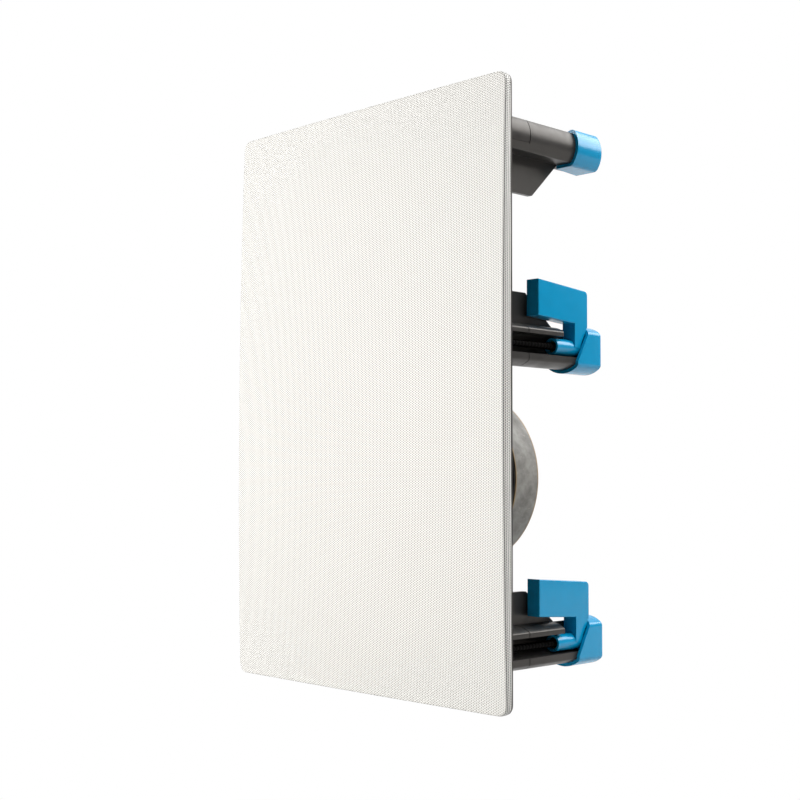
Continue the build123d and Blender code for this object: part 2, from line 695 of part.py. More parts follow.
def dome_shell(radius, rise, sheet, base):
    """Thin cap of a sphere about the Y axis, bulging to the room from a base depth."""
    ball = (radius ** 2 + rise ** 2) / (2 * rise)
    centre = base - rise + ball
    shell = Sphere(ball) - Sphere(ball - sheet)
    return (Pos(0, centre, 0) * shell) & disc(radius, base - rise, base)


def make_dust_cap():
    return dome_shell(DUST_CAP_RADIUS, DUST_CAP_RISE, DUST_CAP_SHEET, cone_front_depth(DUST_CAP_RADIUS))


def make_voice_coil():
    inside = COIL_FORMER_RADIUS - COIL_FORMER_WALL
    former = ring(COIL_FORMER_RADIUS, inside, CONE_NECK_DEPTH, COIL_FORMER_END)
    return former + ring(COIL_OUTSIDE, COIL_FORMER_RADIUS, COIL_WINDING_FRONT, COIL_WINDING_BACK)


def make_spider():
    """Corrugated disc between the coil former and its seat in the basket."""
    seat_back = SPIDER_SEAT
    outer = BASKET_FLOOR_RADIUS - BASKET_WALL - RUNNING_GAP
    flat_start = outer - SPIDER_SEAT_WIDTH
    steps = 2 * SPIDER_WAVE_COUNT
    pitch = (flat_start - COIL_FORMER_RADIUS) / (steps + 1)
    waves = [(COIL_FORMER_RADIUS, seat_back)]
    for i in range(steps):
        waves.append((COIL_FORMER_RADIUS + pitch * (i + 1), seat_back - SPIDER_WAVE * (i % 2)))
    waves += [(flat_start, seat_back), (outer, seat_back)]
    front = [(radius, depth - SPIDER_SHEET) for radius, depth in reversed(waves)]
    return turned(waves + front)


def make_top_plate():
    return ring(BASKET_FLOOR_RADIUS, COIL_OUTSIDE + MOTOR_GAP, BASKET_FLOOR, FERRITE_FRONT)


def make_ferrite():
    return ring(FERRITE_RADIUS, FERRITE_HOLE_RADIUS, FERRITE_FRONT, FERRITE_BACK)


def make_yoke():
    """Back plate and pole in one turned piece, with a vent."""
    plate = disc(YOKE_RADIUS, FERRITE_BACK, FERRITE_BACK + YOKE_THICK)
    pole = disc(POLE_RADIUS, BASKET_FLOOR, FERRITE_BACK)
    return plate + pole - disc(VENT_RADIUS, BASKET_FLOOR, FERRITE_BACK + YOKE_THICK)


# Tweeter, built about the Y axis
def make_faceplate():
    """Face plate with a flared horn and a hub behind it."""
    front = BAFFLE_FRONT - FACEPLATE_THICK
    throat = HUB_FACE - DOME_SHEET
    lip = DOME_RADIUS + 2 * DOME_ROLL + DOME_LIP
    edge = Polyline(
        (HORN_MOUTH_RADIUS, front),
        (FACEPLATE_RADIUS - FACEPLATE_EDGE, front),
        (FACEPLATE_RADIUS, front + FACEPLATE_EDGE),
        (FACEPLATE_RADIUS, BAFFLE_FRONT),
        (FACEPLATE_HUB_RADIUS, BAFFLE_FRONT),
        (FACEPLATE_HUB_RADIUS, HUB_FACE),
        (lip, HUB_FACE),
        (lip, throat),
        (HORN_THROAT_RADIUS, throat),
    )
    flare = TangentArc((HORN_MOUTH_RADIUS, front), (HORN_THROAT_RADIUS, throat), tangent=(-1, 0))
    plate = revolve(make_face([edge, flare]), axis=Axis.Y)
    hole = disc(FIXING_RADIUS + FIXING_HOLE_GAP, front, BAFFLE_FRONT)
    for x, z in tweeter_screw_places():
        plate -= at((x, z - TWEETER_RISE), hole)
    return plate


def make_dome():
    """One formed diaphragm: dome, half roll and the lip that is clamped."""
    base = HUB_FACE
    dome = dome_shell(DOME_RADIUS, DOME_RISE, DOME_SHEET, base)
    roll = Circle(DOME_ROLL) - Circle(DOME_ROLL - DOME_SHEET)
    roll &= span_rectangle(-DOME_ROLL, DOME_ROLL, -DOME_ROLL, 0)
    profile = Pos(DOME_RADIUS + DOME_ROLL - DOME_SHEET, base) * roll
    lip_start = DOME_RADIUS + 2 * DOME_ROLL - 2 * DOME_SHEET
    lip = DOME_RADIUS + 2 * DOME_ROLL + DOME_LIP
    profile += span_rectangle(lip_start, lip, base - DOME_SHEET, base)
    return dome + revolve(profile, axis=Axis.Y)


def make_tweeter_coil():
    return ring(TWEETER_COIL_OUTSIDE, DOME_RADIUS, HUB_FACE, HUB_FACE + TWEETER_COIL_LENGTH)


def make_tweeter_plate():
    return ring(FACEPLATE_HUB_RADIUS, TWEETER_COIL_OUTSIDE + TWEETER_GAP, HUB_FACE, TWEETER_PLATE_BACK)


def make_tweeter_ferrite():
    return ring(
        TWEETER_FERRITE_RADIUS, TWEETER_FERRITE_HOLE, TWEETER_PLATE_BACK, TWEETER_FERRITE_BACK
    )


def make_tweeter_yoke():
    plate = disc(
        FACEPLATE_HUB_RADIUS, TWEETER_FERRITE_BACK, TWEETER_FERRITE_BACK + TWEETER_PLATE_THICK
    )
    return plate + disc(DOME_RADIUS - TWEETER_GAP, HUB_FACE, TWEETER_FERRITE_BACK)


# Crossover board and what stands on it
def on_board(place, solid):
    """Solid placed from the middle of the board."""
    return at((place[0], BOARD_RISE + place[1]), solid)


def make_board():
    board = slab(Pos(0, BOARD_RISE) * Rectangle(BOARD_WIDTH, BOARD_HEIGHT), BOARD_DEPTH, BOARD_BACK)
    for place in board_screw_places():
        board -= at(place, disc(FIXING_RADIUS + FIXING_HOLE_GAP, BOARD_DEPTH, BOARD_BACK))
    return board


def make_crossover_coils():
    big = ring(BIG_COIL_RADIUS, BIG_COIL_HOLE, BOARD_BACK, BOARD_BACK + BIG_COIL_HEIGHT)
    small = ring(SMALL_COIL_RADIUS, SMALL_COIL_HOLE, BOARD_BACK, BOARD_BACK + SMALL_COIL_HEIGHT)
    return group([on_board(BIG_COIL_PLACE, big), on_board(SMALL_COIL_PLACE, small)])


def make_capacitors():
    """One can that stands on the board and one that lies along it."""
    tall = disc(TALL_CAPACITOR_RADIUS, BOARD_BACK, BOARD_BACK + TALL_CAPACITOR_HEIGHT)
    tall = fillet(tall.edges().sort_by(Axis.Y)[-1], CAPACITOR_EDGE)
    flat = extrude(
        Plane.YZ.offset(-FLAT_CAPACITOR_LENGTH / 2)
        * (Pos(BOARD_BACK + FLAT_CAPACITOR_RADIUS, 0) * Circle(FLAT_CAPACITOR_RADIUS)),
        amount=FLAT_CAPACITOR_LENGTH,
    )
    flat = fillet(flat.edges().filter_by(GeomType.CIRCLE), CAPACITOR_EDGE)
    return group([on_board(TALL_CAPACITOR_PLACE, tall), on_board(FLAT_CAPACITOR_PLACE, flat)])


def make_resistor():
    block = slab(Rectangle(RESISTOR_LENGTH, RESISTOR_SIDE), BOARD_BACK, BOARD_BACK + RESISTOR_SIDE)
    block = fillet(block.faces().sort_by(Axis.Y)[-1].edges(), RESISTOR_EDGE)
    return on_board(RESISTOR_PLACE, block)


# Terminal block, built about its own middle on the board
def lever_width():
    """Width of one lever's pocket, with a wall on each side and between the two."""
    return (TERMINAL_WIDTH - 3 * TERMINAL_WALL) / 2


def lever_centres():
    step = (lever_width() + TERMINAL_WALL) / 2
    return (-step, step)


def lever_pivot():
    """Depth and height of the lever's pin, from the middle of the block."""
    depth = LEVER_BACK - LEVER_BARREL_RADIUS
    height = TERMINAL_HEIGHT / 2 - TERMINAL_WALL - LEVER_BARREL_RADIUS - LEVER_SIDE_GAP
    return depth, height


def pin_along_x(radius, length, centre):
    """Round bar along X, centred at an X place, on the lever's pivot."""
    depth, height = lever_pivot()
    bar = extrude(Plane.YZ.offset(centre - length / 2) * Circle(radius), amount=length)
    return Pos(0, depth, height) * bar


def make_terminal_block():
    """Moulded block with an open pocket and a wire slot for each lever."""
    block = slab(Rectangle(TERMINAL_WIDTH, TERMINAL_HEIGHT), BOARD_BACK, TERMINAL_BACK)
    block = fillet(block.edges().filter_by(Axis.Y), TERMINAL_WALL / 2)
    pocket_height = TERMINAL_HEIGHT - TERMINAL_WALL
    for centre in lever_centres():
        pocket = Pos(centre, -TERMINAL_WALL / 2) * Rectangle(lever_width(), pocket_height)
        block -= slab(pocket, TERMINAL_BACK - POCKET_DEPTH, TERMINAL_BACK)
        hole_length = lever_width() + 2 * (LEVER_PIN_LENGTH - LEVER_SIDE_GAP) + 2 * RUNNING_GAP
        block -= pin_along_x(LEVER_PIN_RADIUS + RUNNING_GAP, hole_length, centre)
        wire = Pos(centre, -TERMINAL_HEIGHT / 4) * Rectangle(WIRE_SLOT, TERMINAL_HEIGHT / 2)
        floor = TERMINAL_BACK - POCKET_DEPTH
        block -= slab(wire, floor - WIRE_SLOT, floor)
    return on_board(TERMINAL_PLACE, block)


def make_lever(centre):
    """Thumb lever with a barrel and two pins at its upper end."""
    width = lever_width() - 2 * LEVER_SIDE_GAP
    depth, height = lever_pivot()
    low = -TERMINAL_HEIGHT / 2 + LEVER_SIDE_GAP
    plate = span_rectangle(centre - width / 2, centre + width / 2, low, height)
    lever = slab(plate, LEVER_FRONT, LEVER_BACK)
    lever += pin_along_x(LEVER_BARREL_RADIUS, width, centre)
    lever += pin_along_x(LEVER_PIN_RADIUS, width + 2 * LEVER_PIN_LENGTH, centre)
    return on_board(TERMINAL_PLACE, lever)


# All pieces by name
def build():
    at_woofer = Pos(0, 0, WOOFER_RISE)
    at_tweeter = Pos(0, 0, TWEETER_RISE)
    tweeter_seat = BAFFLE_FRONT - FACEPLATE_THICK
    red_centre, black_centre = lever_centres()
    nodes = {
        "grille": make_grille(),
        "grille_magnets": make_grille_magnets(),
        "frame": make_frame(),
        "woofer_basket": at_woofer * make_basket(),
        "woofer_gasket": at_woofer * make_gasket(),
        "woofer_surround": at_woofer * make_surround(),
        "woofer_cone": at_woofer * make_cone(),
        "woofer_dust_cap": at_woofer * make_dust_cap(),
        "woofer_voice_coil": at_woofer * make_voice_coil(),
        "woofer_spider": at_woofer * make_spider(),
        "woofer_top_plate": at_woofer * make_top_plate(),
        "woofer_magnet": at_woofer * make_ferrite(),
        "woofer_yoke": at_woofer * make_yoke(),
        "woofer_screws": group(at(p, fixing_screw(FLANGE_FRONT, 1)) for p in woofer_screw_places()),
        "tweeter_faceplate": at_tweeter * make_faceplate(),
        "tweeter_dome": at_tweeter * make_dome(),
        "tweeter_coil": at_tweeter * make_tweeter_coil(),
        "tweeter_top_plate": at_tweeter * make_tweeter_plate(),
        "tweeter_magnet": at_tweeter * make_tweeter_ferrite(),
        "tweeter_yoke": at_tweeter * make_tweeter_yoke(),
        "tweeter_screws": group(at(p, fixing_screw(tweeter_seat, 1)) for p in tweeter_screw_places()),
        "crossover_board": make_board(),
        "crossover_coils": make_crossover_coils(),
        "crossover_capacitors": make_capacitors(),
        "crossover_resistor": make_resistor(),
        "board_screws": group(at(p, fixing_screw(BOARD_BACK, -1)) for p in board_screw_places()),
        "terminal_block": make_terminal_block(),
        "terminal_lever_red": make_lever(red_centre),
        "terminal_lever_black": make_lever(black_centre),
    }
    pieces = {
        "tower_cap": make_cap(),
        "clamp": make_clamp(),
        "clamp_insert": make_insert(),
        "clamp_screw": make_clamp_screw(),
    }
    for number, spot in enumerate(tower_places(), start=1):
        for name, solid in pieces.items():
            nodes[f"{name}_{number}"] = on_tower(spot, solid)
    return nodes


os.makedirs("parts", exist_ok=True)
for name, solid in build().items():
    export_step(solid, f"parts/{name}.step")
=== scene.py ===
"""Dresses an in-wall speaker: crowned perforated grille, black frame and blue wall clamps.

Lengths are metres unless a name ends in mm. X runs to the right seen from the room, Y runs into
the wall and Z runs up. The origin is the middle of the wall cut-out.
"""

from __future__ import annotations

import logging
import math
from dataclasses import dataclass, field
from enum import Enum
from typing import Any

import bmesh
import bpy
from mathutils import Matrix, Vector

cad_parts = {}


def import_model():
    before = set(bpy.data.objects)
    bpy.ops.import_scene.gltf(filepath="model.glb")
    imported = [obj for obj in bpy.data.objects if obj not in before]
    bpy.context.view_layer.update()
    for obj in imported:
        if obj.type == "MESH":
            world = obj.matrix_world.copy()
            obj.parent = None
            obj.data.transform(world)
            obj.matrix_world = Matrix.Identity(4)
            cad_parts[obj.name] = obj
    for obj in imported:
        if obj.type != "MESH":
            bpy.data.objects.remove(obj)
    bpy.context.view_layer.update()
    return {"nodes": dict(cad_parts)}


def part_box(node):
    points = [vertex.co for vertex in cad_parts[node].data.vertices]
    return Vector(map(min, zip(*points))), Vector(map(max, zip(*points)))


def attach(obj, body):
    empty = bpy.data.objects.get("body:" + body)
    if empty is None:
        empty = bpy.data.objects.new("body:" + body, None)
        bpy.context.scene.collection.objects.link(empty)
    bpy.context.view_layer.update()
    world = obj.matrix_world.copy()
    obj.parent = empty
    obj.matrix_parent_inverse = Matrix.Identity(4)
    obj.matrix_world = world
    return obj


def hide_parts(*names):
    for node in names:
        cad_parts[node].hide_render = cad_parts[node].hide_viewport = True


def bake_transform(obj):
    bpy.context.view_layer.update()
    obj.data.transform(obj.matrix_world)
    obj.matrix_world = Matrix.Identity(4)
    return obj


LOG = logging.getLogger("in_wall_speaker")
MM = 0.001
CLAMP_COUNT = 6
PICTURE_WIDTH_PX = 800
SENSOR_MM = 36.0
SMOOTH_ANGLE = math.radians(32)
WELD_DISTANCE = 0.002 * MM
WHITE = (1.0, 1.0, 1.0, 1.0)
# Sockets of a Mix node that mixes colours
MIX_SHARE = 0
MIX_FIRST = 6
MIX_SECOND = 7
MIX_RESULT = 2
# Blender's noise stays mostly between these values
NOISE_LOW = 0.3
NOISE_HIGH = 0.7
# Blender's ring wave turns by this many radians in each unit of its scale
WAVE_RADIANS = 20.0
# Shares of a screw's own sizes
CROWN_PER_HEAD_RADIUS = 1.35
SLOT_WIDTH_PER_RECESS = 0.22
SLOT_HEIGHT_PER_RECESS = 0.7
ROOT_PER_PITCH = 0.5
RIDGE_PER_PITCH = 0.48
# Sides and steps of the screws and coils
HEAD_SIDES = 32
CROWN_RINGS = 24
CORE_SIDES = 20
THREAD_STEPS = 18
RIDGE_SIDES = 4
COIL_STEPS = 40
WIRE_SIDES = 8
# The wire is drawn a little thicker than its spacing, so that its turns close up
WIRE_RADIUS_PER_SPACING = 0.56


def linear(colour: str) -> tuple[float, float, float, float]:
    """Turns an sRGB hex colour into linear values.

    Args:
        colour: colour such as "#2590c4".

    Returns:
        Linear red, green, blue and an alpha of 1.
    """
    channels = [channel / 255 for channel in bytes.fromhex(colour[1:])]
    # The curve of the sRGB standard
    red, green, blue = (
        value / 12.92 if value <= 0.04045 else ((value + 0.055) / 1.055) ** 2.4
        for value in channels
    )
    return red, green, blue, 1.0


def per_mm(size_mm: float) -> float:
    """Texture scale at which one feature is about that many millimetres wide."""
    return 1 / (size_mm * MM)


def add_node(
    tree: bpy.types.NodeTree, kind: str, inputs: dict[Any, Any] | None = None, **settings: Any
) -> bpy.types.Node:
    """Adds a node with its settings, values and links.

    Args:
        tree: tree that gets the node.
        kind: Blender's name of the node type.
        inputs: input name or number, with its value or the output that feeds it.
        **settings: properties of the node.

    Returns:
        The new node.
    """
    node = tree.nodes.new(kind)
    for key, value in settings.items():
        setattr(node, key, value)
    for key, value in (inputs or {}).items():
        if isinstance(value, bpy.types.NodeSocket):
            tree.links.new(value, node.inputs[key])
        else:
            node.inputs[key].default_value = value
    return node


def add_object(name: str, data: bpy.types.ID) -> bpy.types.Object:
    """Puts a new object with this data into the scene, at the origin."""
    made = bpy.data.objects.new(name, data)
    bpy.context.scene.collection.objects.link(made)
    return made


# Finishes
@dataclass(frozen=True)
class Finish:
    """Surface of a real material, with its plain shader values."""

    name: str
    colour: str
    roughness: float
    metallic: float = 0.0
    coat: float = 0.0
    coat_roughness: float = 0.1
    gloss_tint: str = "#ffffff"

    def material(self) -> bpy.types.Material:
        """Makes the material and lets the finish add its own pattern.

        Returns:
            The finished material.
        """
        material = bpy.data.materials.new(self.name)
        material.use_nodes = True
        tree = material.node_tree
        shader = tree.nodes["Principled BSDF"]
        plain = {
            "Base Color": linear(self.colour),
            "Roughness": self.roughness,
            "Metallic": self.metallic,
            "Specular Tint": linear(self.gloss_tint),
            "Coat Weight": self.coat,
            "Coat Roughness": self.coat_roughness,
        }
        for label, value in plain.items():
            shader.inputs[label].default_value = value
        self.pattern(tree, shader)
        return material

    def pattern(self, tree: bpy.types.NodeTree, shader: bpy.types.Node) -> None:
        """Adds the pattern of this finish to its shader.

        Args:
            tree: the material's node tree.
            shader: the material's surface shader.
        """


@dataclass(frozen=True)
class Mottled(Finish):
    """Moulded, coated or plated surface: cloudy tone, uneven gloss and a fine grain.

    The grain is drawn coarser than the real one, so that it shows.
    """

    second_colour: str = "#000000"
    cloud_mm: float = 20.0
    cloud_detail: float = 4.0
    cloud_contrast: float = 0.6
    gloss_mm: float = 8.0
    gloss_detail: float = 3.0
    gloss_spread: float = 0.06
    grain_mm: float = 0.8
    grain_detail: float = 2.0
    grain_depth_mm: float = 0.01

    def pattern(self, tree: bpy.types.NodeTree, shader: bpy.types.Node) -> None:
        """Adds cloudy tone, uneven gloss and grain.

        Args:
            tree: the material's node tree.
            shader: the material's surface shader.
        """
        place = add_node(tree, "ShaderNodeTexCoord").outputs["Object"]
        cloud = add_node(
            tree,
            "ShaderNodeTexNoise",
            {
                "Vector": place,
                "Scale": per_mm(self.cloud_mm),
                "Detail": self.cloud_detail,
                "Roughness": self.cloud_contrast,
            },
        )
        tone = add_node(
            tree,
            "ShaderNodeMix",
            {
                MIX_SHARE: cloud.outputs[0],
                MIX_FIRST: linear(self.colour),
                MIX_SECOND: linear(self.second_colour),
            },
            data_type="RGBA",
        )
        tree.links.new(tone.outputs[MIX_RESULT], shader.inputs["Base Color"])
        smear = add_node(
            tree,
            "ShaderNodeTexNoise",
            {"Vector": place, "Scale": per_mm(self.gloss_mm), "Detail": self.gloss_detail},
        )
        gloss = add_node(
            tree,
            "ShaderNodeMapRange",
            {
                "Value": smear.outputs[0],
                "From Min": NOISE_LOW,
                "From Max": NOISE_HIGH,
                "To Min": self.roughness - self.gloss_spread,
                "To Max": self.roughness + self.gloss_spread,
            },
        )
        tree.links.new(gloss.outputs[0], shader.inputs["Roughness"])
        grain = add_node(
            tree,
            "ShaderNodeTexNoise",
            {"Vector": place, "Scale": per_mm(self.grain_mm), "Detail": self.grain_detail},
        )
        relief = add_node(
            tree,
            "ShaderNodeBump",
            {"Height": grain.outputs[0], "Strength": 1.0, "Distance": self.grain_depth_mm * MM},
        )
        tree.links.new(relief.outputs[0], shader.inputs["Normal"])


@dataclass(frozen=True)
class PerforatedCoat(Finish):
    """Powder coat on perforated sheet, with round holes in staggered columns.

    The holes follow the unfolded sheet in the piece's own UV map, in millimetres. The fold
    attribute is the way along the sheet from the start of the fold, in millimetres. The holes'
    colours are partly painted shade. On the face a hole is light grey: its white-coated wall,
    painted in shade. From the fold on it is near black: the black frame behind the sheet, painted
    in shade and darkest at the fold, and the hole is drawn larger than on the face, so that it
    shows.
    """

    # Painted shade in the holes: on the face, at the fold and on the flange
    face_hole_painted_shade: str = "#a39f98"
    fold_hole_painted_shade: str = "#040404"
    flange_hole_painted_shade: str = "#0a0909"
    pitch_mm: float = 1.25
    column_mm: float = 1.08
    hole_radius_mm: float = 0.37
    fold_hole_radius_mm: float = 0.47
    flange_hole_radius_mm: float = 0.43
    hole_edge_mm: float = 0.12
    hole_depth_mm: float = 0.03
    dark_start_mm: float = 0.45
    dark_full_mm: float = 0.8
    fold_end_mm: float = 1.6
    flange_end_mm: float = 4.3
    peel_mm: float = 0.5
    peel_depth_mm: float = 0.006

    def way_to_hole(self, tree: bpy.types.NodeTree) -> bpy.types.NodeSocket:
        """Adds the way to the middle of the nearest hole on the unfolded sheet.

        Args:
            tree: the material's node tree.

        Returns:
            The way, in millimetres.
        """
        sheet = add_node(tree, "ShaderNodeUVMap", uv_map="sheet_mm").outputs[0]
        half_step = (self.column_mm, self.pitch_mm / 2, 1.0)
        low = tuple(-v for v in half_step)
        reach = []
        for shift in ((0.0, 0.0, 0.0), (self.column_mm, self.pitch_mm / 2, 0.0)):
            moved = add_node(tree, "ShaderNodeVectorMath", {0: sheet, 1: shift}, operation="ADD")
            cell = add_node(
                tree,
                "ShaderNodeVectorMath",
                {0: moved.outputs[0], 1: half_step, 2: low},
                operation="WRAP",
            )
            away = add_node(tree, "ShaderNodeVectorMath", {0: cell.outputs[0]}, operation="LENGTH")
            reach.append(away.outputs["Value"])
        nearest = add_node(tree, "ShaderNodeMath", dict(enumerate(reach)), operation="MINIMUM")
        return nearest.outputs[0]

    def radius(
        self, tree: bpy.types.NodeTree, fold: bpy.types.NodeSocket
    ) -> bpy.types.NodeSocket:
        """Adds the holes' radius: least on the face, most at the fold.

        Args:
            tree: the material's node tree.
            fold: way past the start of the fold, in millimetres.

        Returns:
            The radius, in millimetres.
        """
        swell = add_node(
            tree,
            "ShaderNodeMapRange",
            {
                "Value": fold,
                "From Min": self.dark_start_mm,
                "From Max": self.dark_full_mm,
                "To Min": self.hole_radius_mm,
                "To Max": self.fold_hole_radius_mm,
            },
        )
        shrink = add_node(
            tree,
            "ShaderNodeMapRange",
            {
                "Value": fold,
                "From Min": self.dark_full_mm,
                "From Max": self.fold_end_mm,
                "To Min": 0.0,
                "To Max": self.fold_hole_radius_mm - self.flange_hole_radius_mm,
            },
        )
        radius = add_node(
            tree,
            "ShaderNodeMath",
            {0: swell.outputs[0], 1: shrink.outputs[0]},
            operation="SUBTRACT",
        )
        return radius.outputs[0]

    def shade(
        self, tree: bpy.types.NodeTree, fold: bpy.types.NodeSocket
    ) -> bpy.types.NodeSocket:
        """Adds the holes' painted shade: light grey for the shaded wall on the face, near black
        for the shaded frame past the fold.

        Args:
            tree: the material's node tree.
            fold: way past the start of the fold, in millimetres.

        Returns:
            The colour.
        """
        band = add_node(
            tree,
            "ShaderNodeMapRange",
            {"Value": fold, "From Min": 0.0, "From Max": self.flange_end_mm},
        )
        # Painted shade in the holes, by the way past the fold: light grey on the face, near black
        # from the fold on
        shade = add_node(tree, "ShaderNodeValToRGB", {0: band.outputs[0]})
        stops = shade.color_ramp.elements
        stops[0].position = self.dark_start_mm / self.flange_end_mm
        stops[0].color = linear(self.face_hole_painted_shade)
        stops[1].position = self.fold_end_mm / self.flange_end_mm
        stops[1].color = linear(self.flange_hole_painted_shade)
        darkest = stops.new(self.dark_full_mm / self.flange_end_mm)
        darkest.color = linear(self.fold_hole_painted_shade)
        return shade.outputs[0]

    def pattern(self, tree: bpy.types.NodeTree, shader: bpy.types.Node) -> None:
        """Adds the holes, their shade and the coat's orange peel.

        Args:
            tree: the material's node tree.
            shader: the material's surface shader.
        """
        fold = add_node(tree, "ShaderNodeAttribute", attribute_name="fold_mm").outputs["Fac"]
        beyond = add_node(
            tree,
            "ShaderNodeMath",
            {0: self.way_to_hole(tree), 1: self.radius(tree, fold)},
            operation="SUBTRACT",
        )
        hole = add_node(
            tree,
            "ShaderNodeMapRange",
            {
                "Value": beyond.outputs[0],
                "From Min": -self.hole_edge_mm / 2,
                "From Max": self.hole_edge_mm / 2,
                "To Min": 1.0,
                "To Max": 0.0,
            },
            interpolation_type="SMOOTHSTEP",
        )
        # The holes take their painted shade
        tone = add_node(
            tree,
            "ShaderNodeMix",
            {
                MIX_SHARE: hole.outputs[0],
                MIX_FIRST: linear(self.colour),
                MIX_SECOND: self.shade(tree, fold),
            },
            data_type="RGBA",
        )
        tree.links.new(tone.outputs[MIX_RESULT], shader.inputs["Base Color"])
        place = add_node(tree, "ShaderNodeTexCoord").outputs["Object"]
        peel = add_node(
            tree, "ShaderNodeTexNoise", {"Vector": place, "Scale": per_mm(self.peel_mm)}
        )
        skin = add_node(
            tree,
            "ShaderNodeBump",
            {"Height": peel.outputs[0], "Strength": 1.0, "Distance": self.peel_depth_mm * MM},
        )
        pits = add_node(
            tree,
            "ShaderNodeBump",
            {
                "Height": hole.outputs[0],
                "Strength": 1.0,
                "Distance": self.hole_depth_mm * MM,
                "Normal": skin.outputs[0],
            },
            invert=True,
        )
        tree.links.new(pits.outputs[0], shader.inputs["Normal"])


@dataclass(frozen=True)
class RingTurned(Finish):
    """Formed round piece: faint rings about its own axis along Y."""

    second_colour: str = "#000000"
    centre: tuple[float, float, float] = (0.0, 0.0, 0.0)
    ring_mm: float = 15.7
    ring_waver: float = 0.3
    ring_depth_mm: float = 0.05
    speck_mm: float = 3.0
    speck_detail: float = 5.0

    def pattern(self, tree: bpy.types.NodeTree, shader: bpy.types.Node) -> None:
        """Adds rings about the axis and a cloudy tone.

        Args:
            tree: the material's node tree.
            shader: the material's surface shader.
        """
        place = add_node(tree, "ShaderNodeTexCoord").outputs["Object"]
        centred = add_node(
            tree,
            "ShaderNodeMapping",
            {"Vector": place, "Location": tuple(-v for v in self.centre)},
        )
        rings = add_node(
            tree,
            "ShaderNodeTexWave",
            {
                "Vector": centred.outputs[0],
                "Scale": math.tau * per_mm(self.ring_mm) / WAVE_RADIANS,
                "Distortion": self.ring_waver,
            },
            wave_type="RINGS",
            rings_direction="Y",
        )
        speck = add_node(
            tree,
            "ShaderNodeTexNoise",
            {"Vector": place, "Scale": per_mm(self.speck_mm), "Detail": self.speck_detail},
        )
        tone = add_node(
            tree,
            "ShaderNodeMix",
            {
                MIX_SHARE: speck.outputs[0],
                MIX_FIRST: linear(self.colour),
                MIX_SECOND: linear(self.second_colour),
            },
            data_type="RGBA",
        )
        tree.links.new(tone.outputs[MIX_RESULT], shader.inputs["Base Color"])
        relief = add_node(
            tree,
            "ShaderNodeBump",
            {"Height": rings.outputs[1], "Strength": 1.0, "Distance": self.ring_depth_mm * MM},
        )
        tree.links.new(relief.outputs[0], shader.inputs["Normal"])


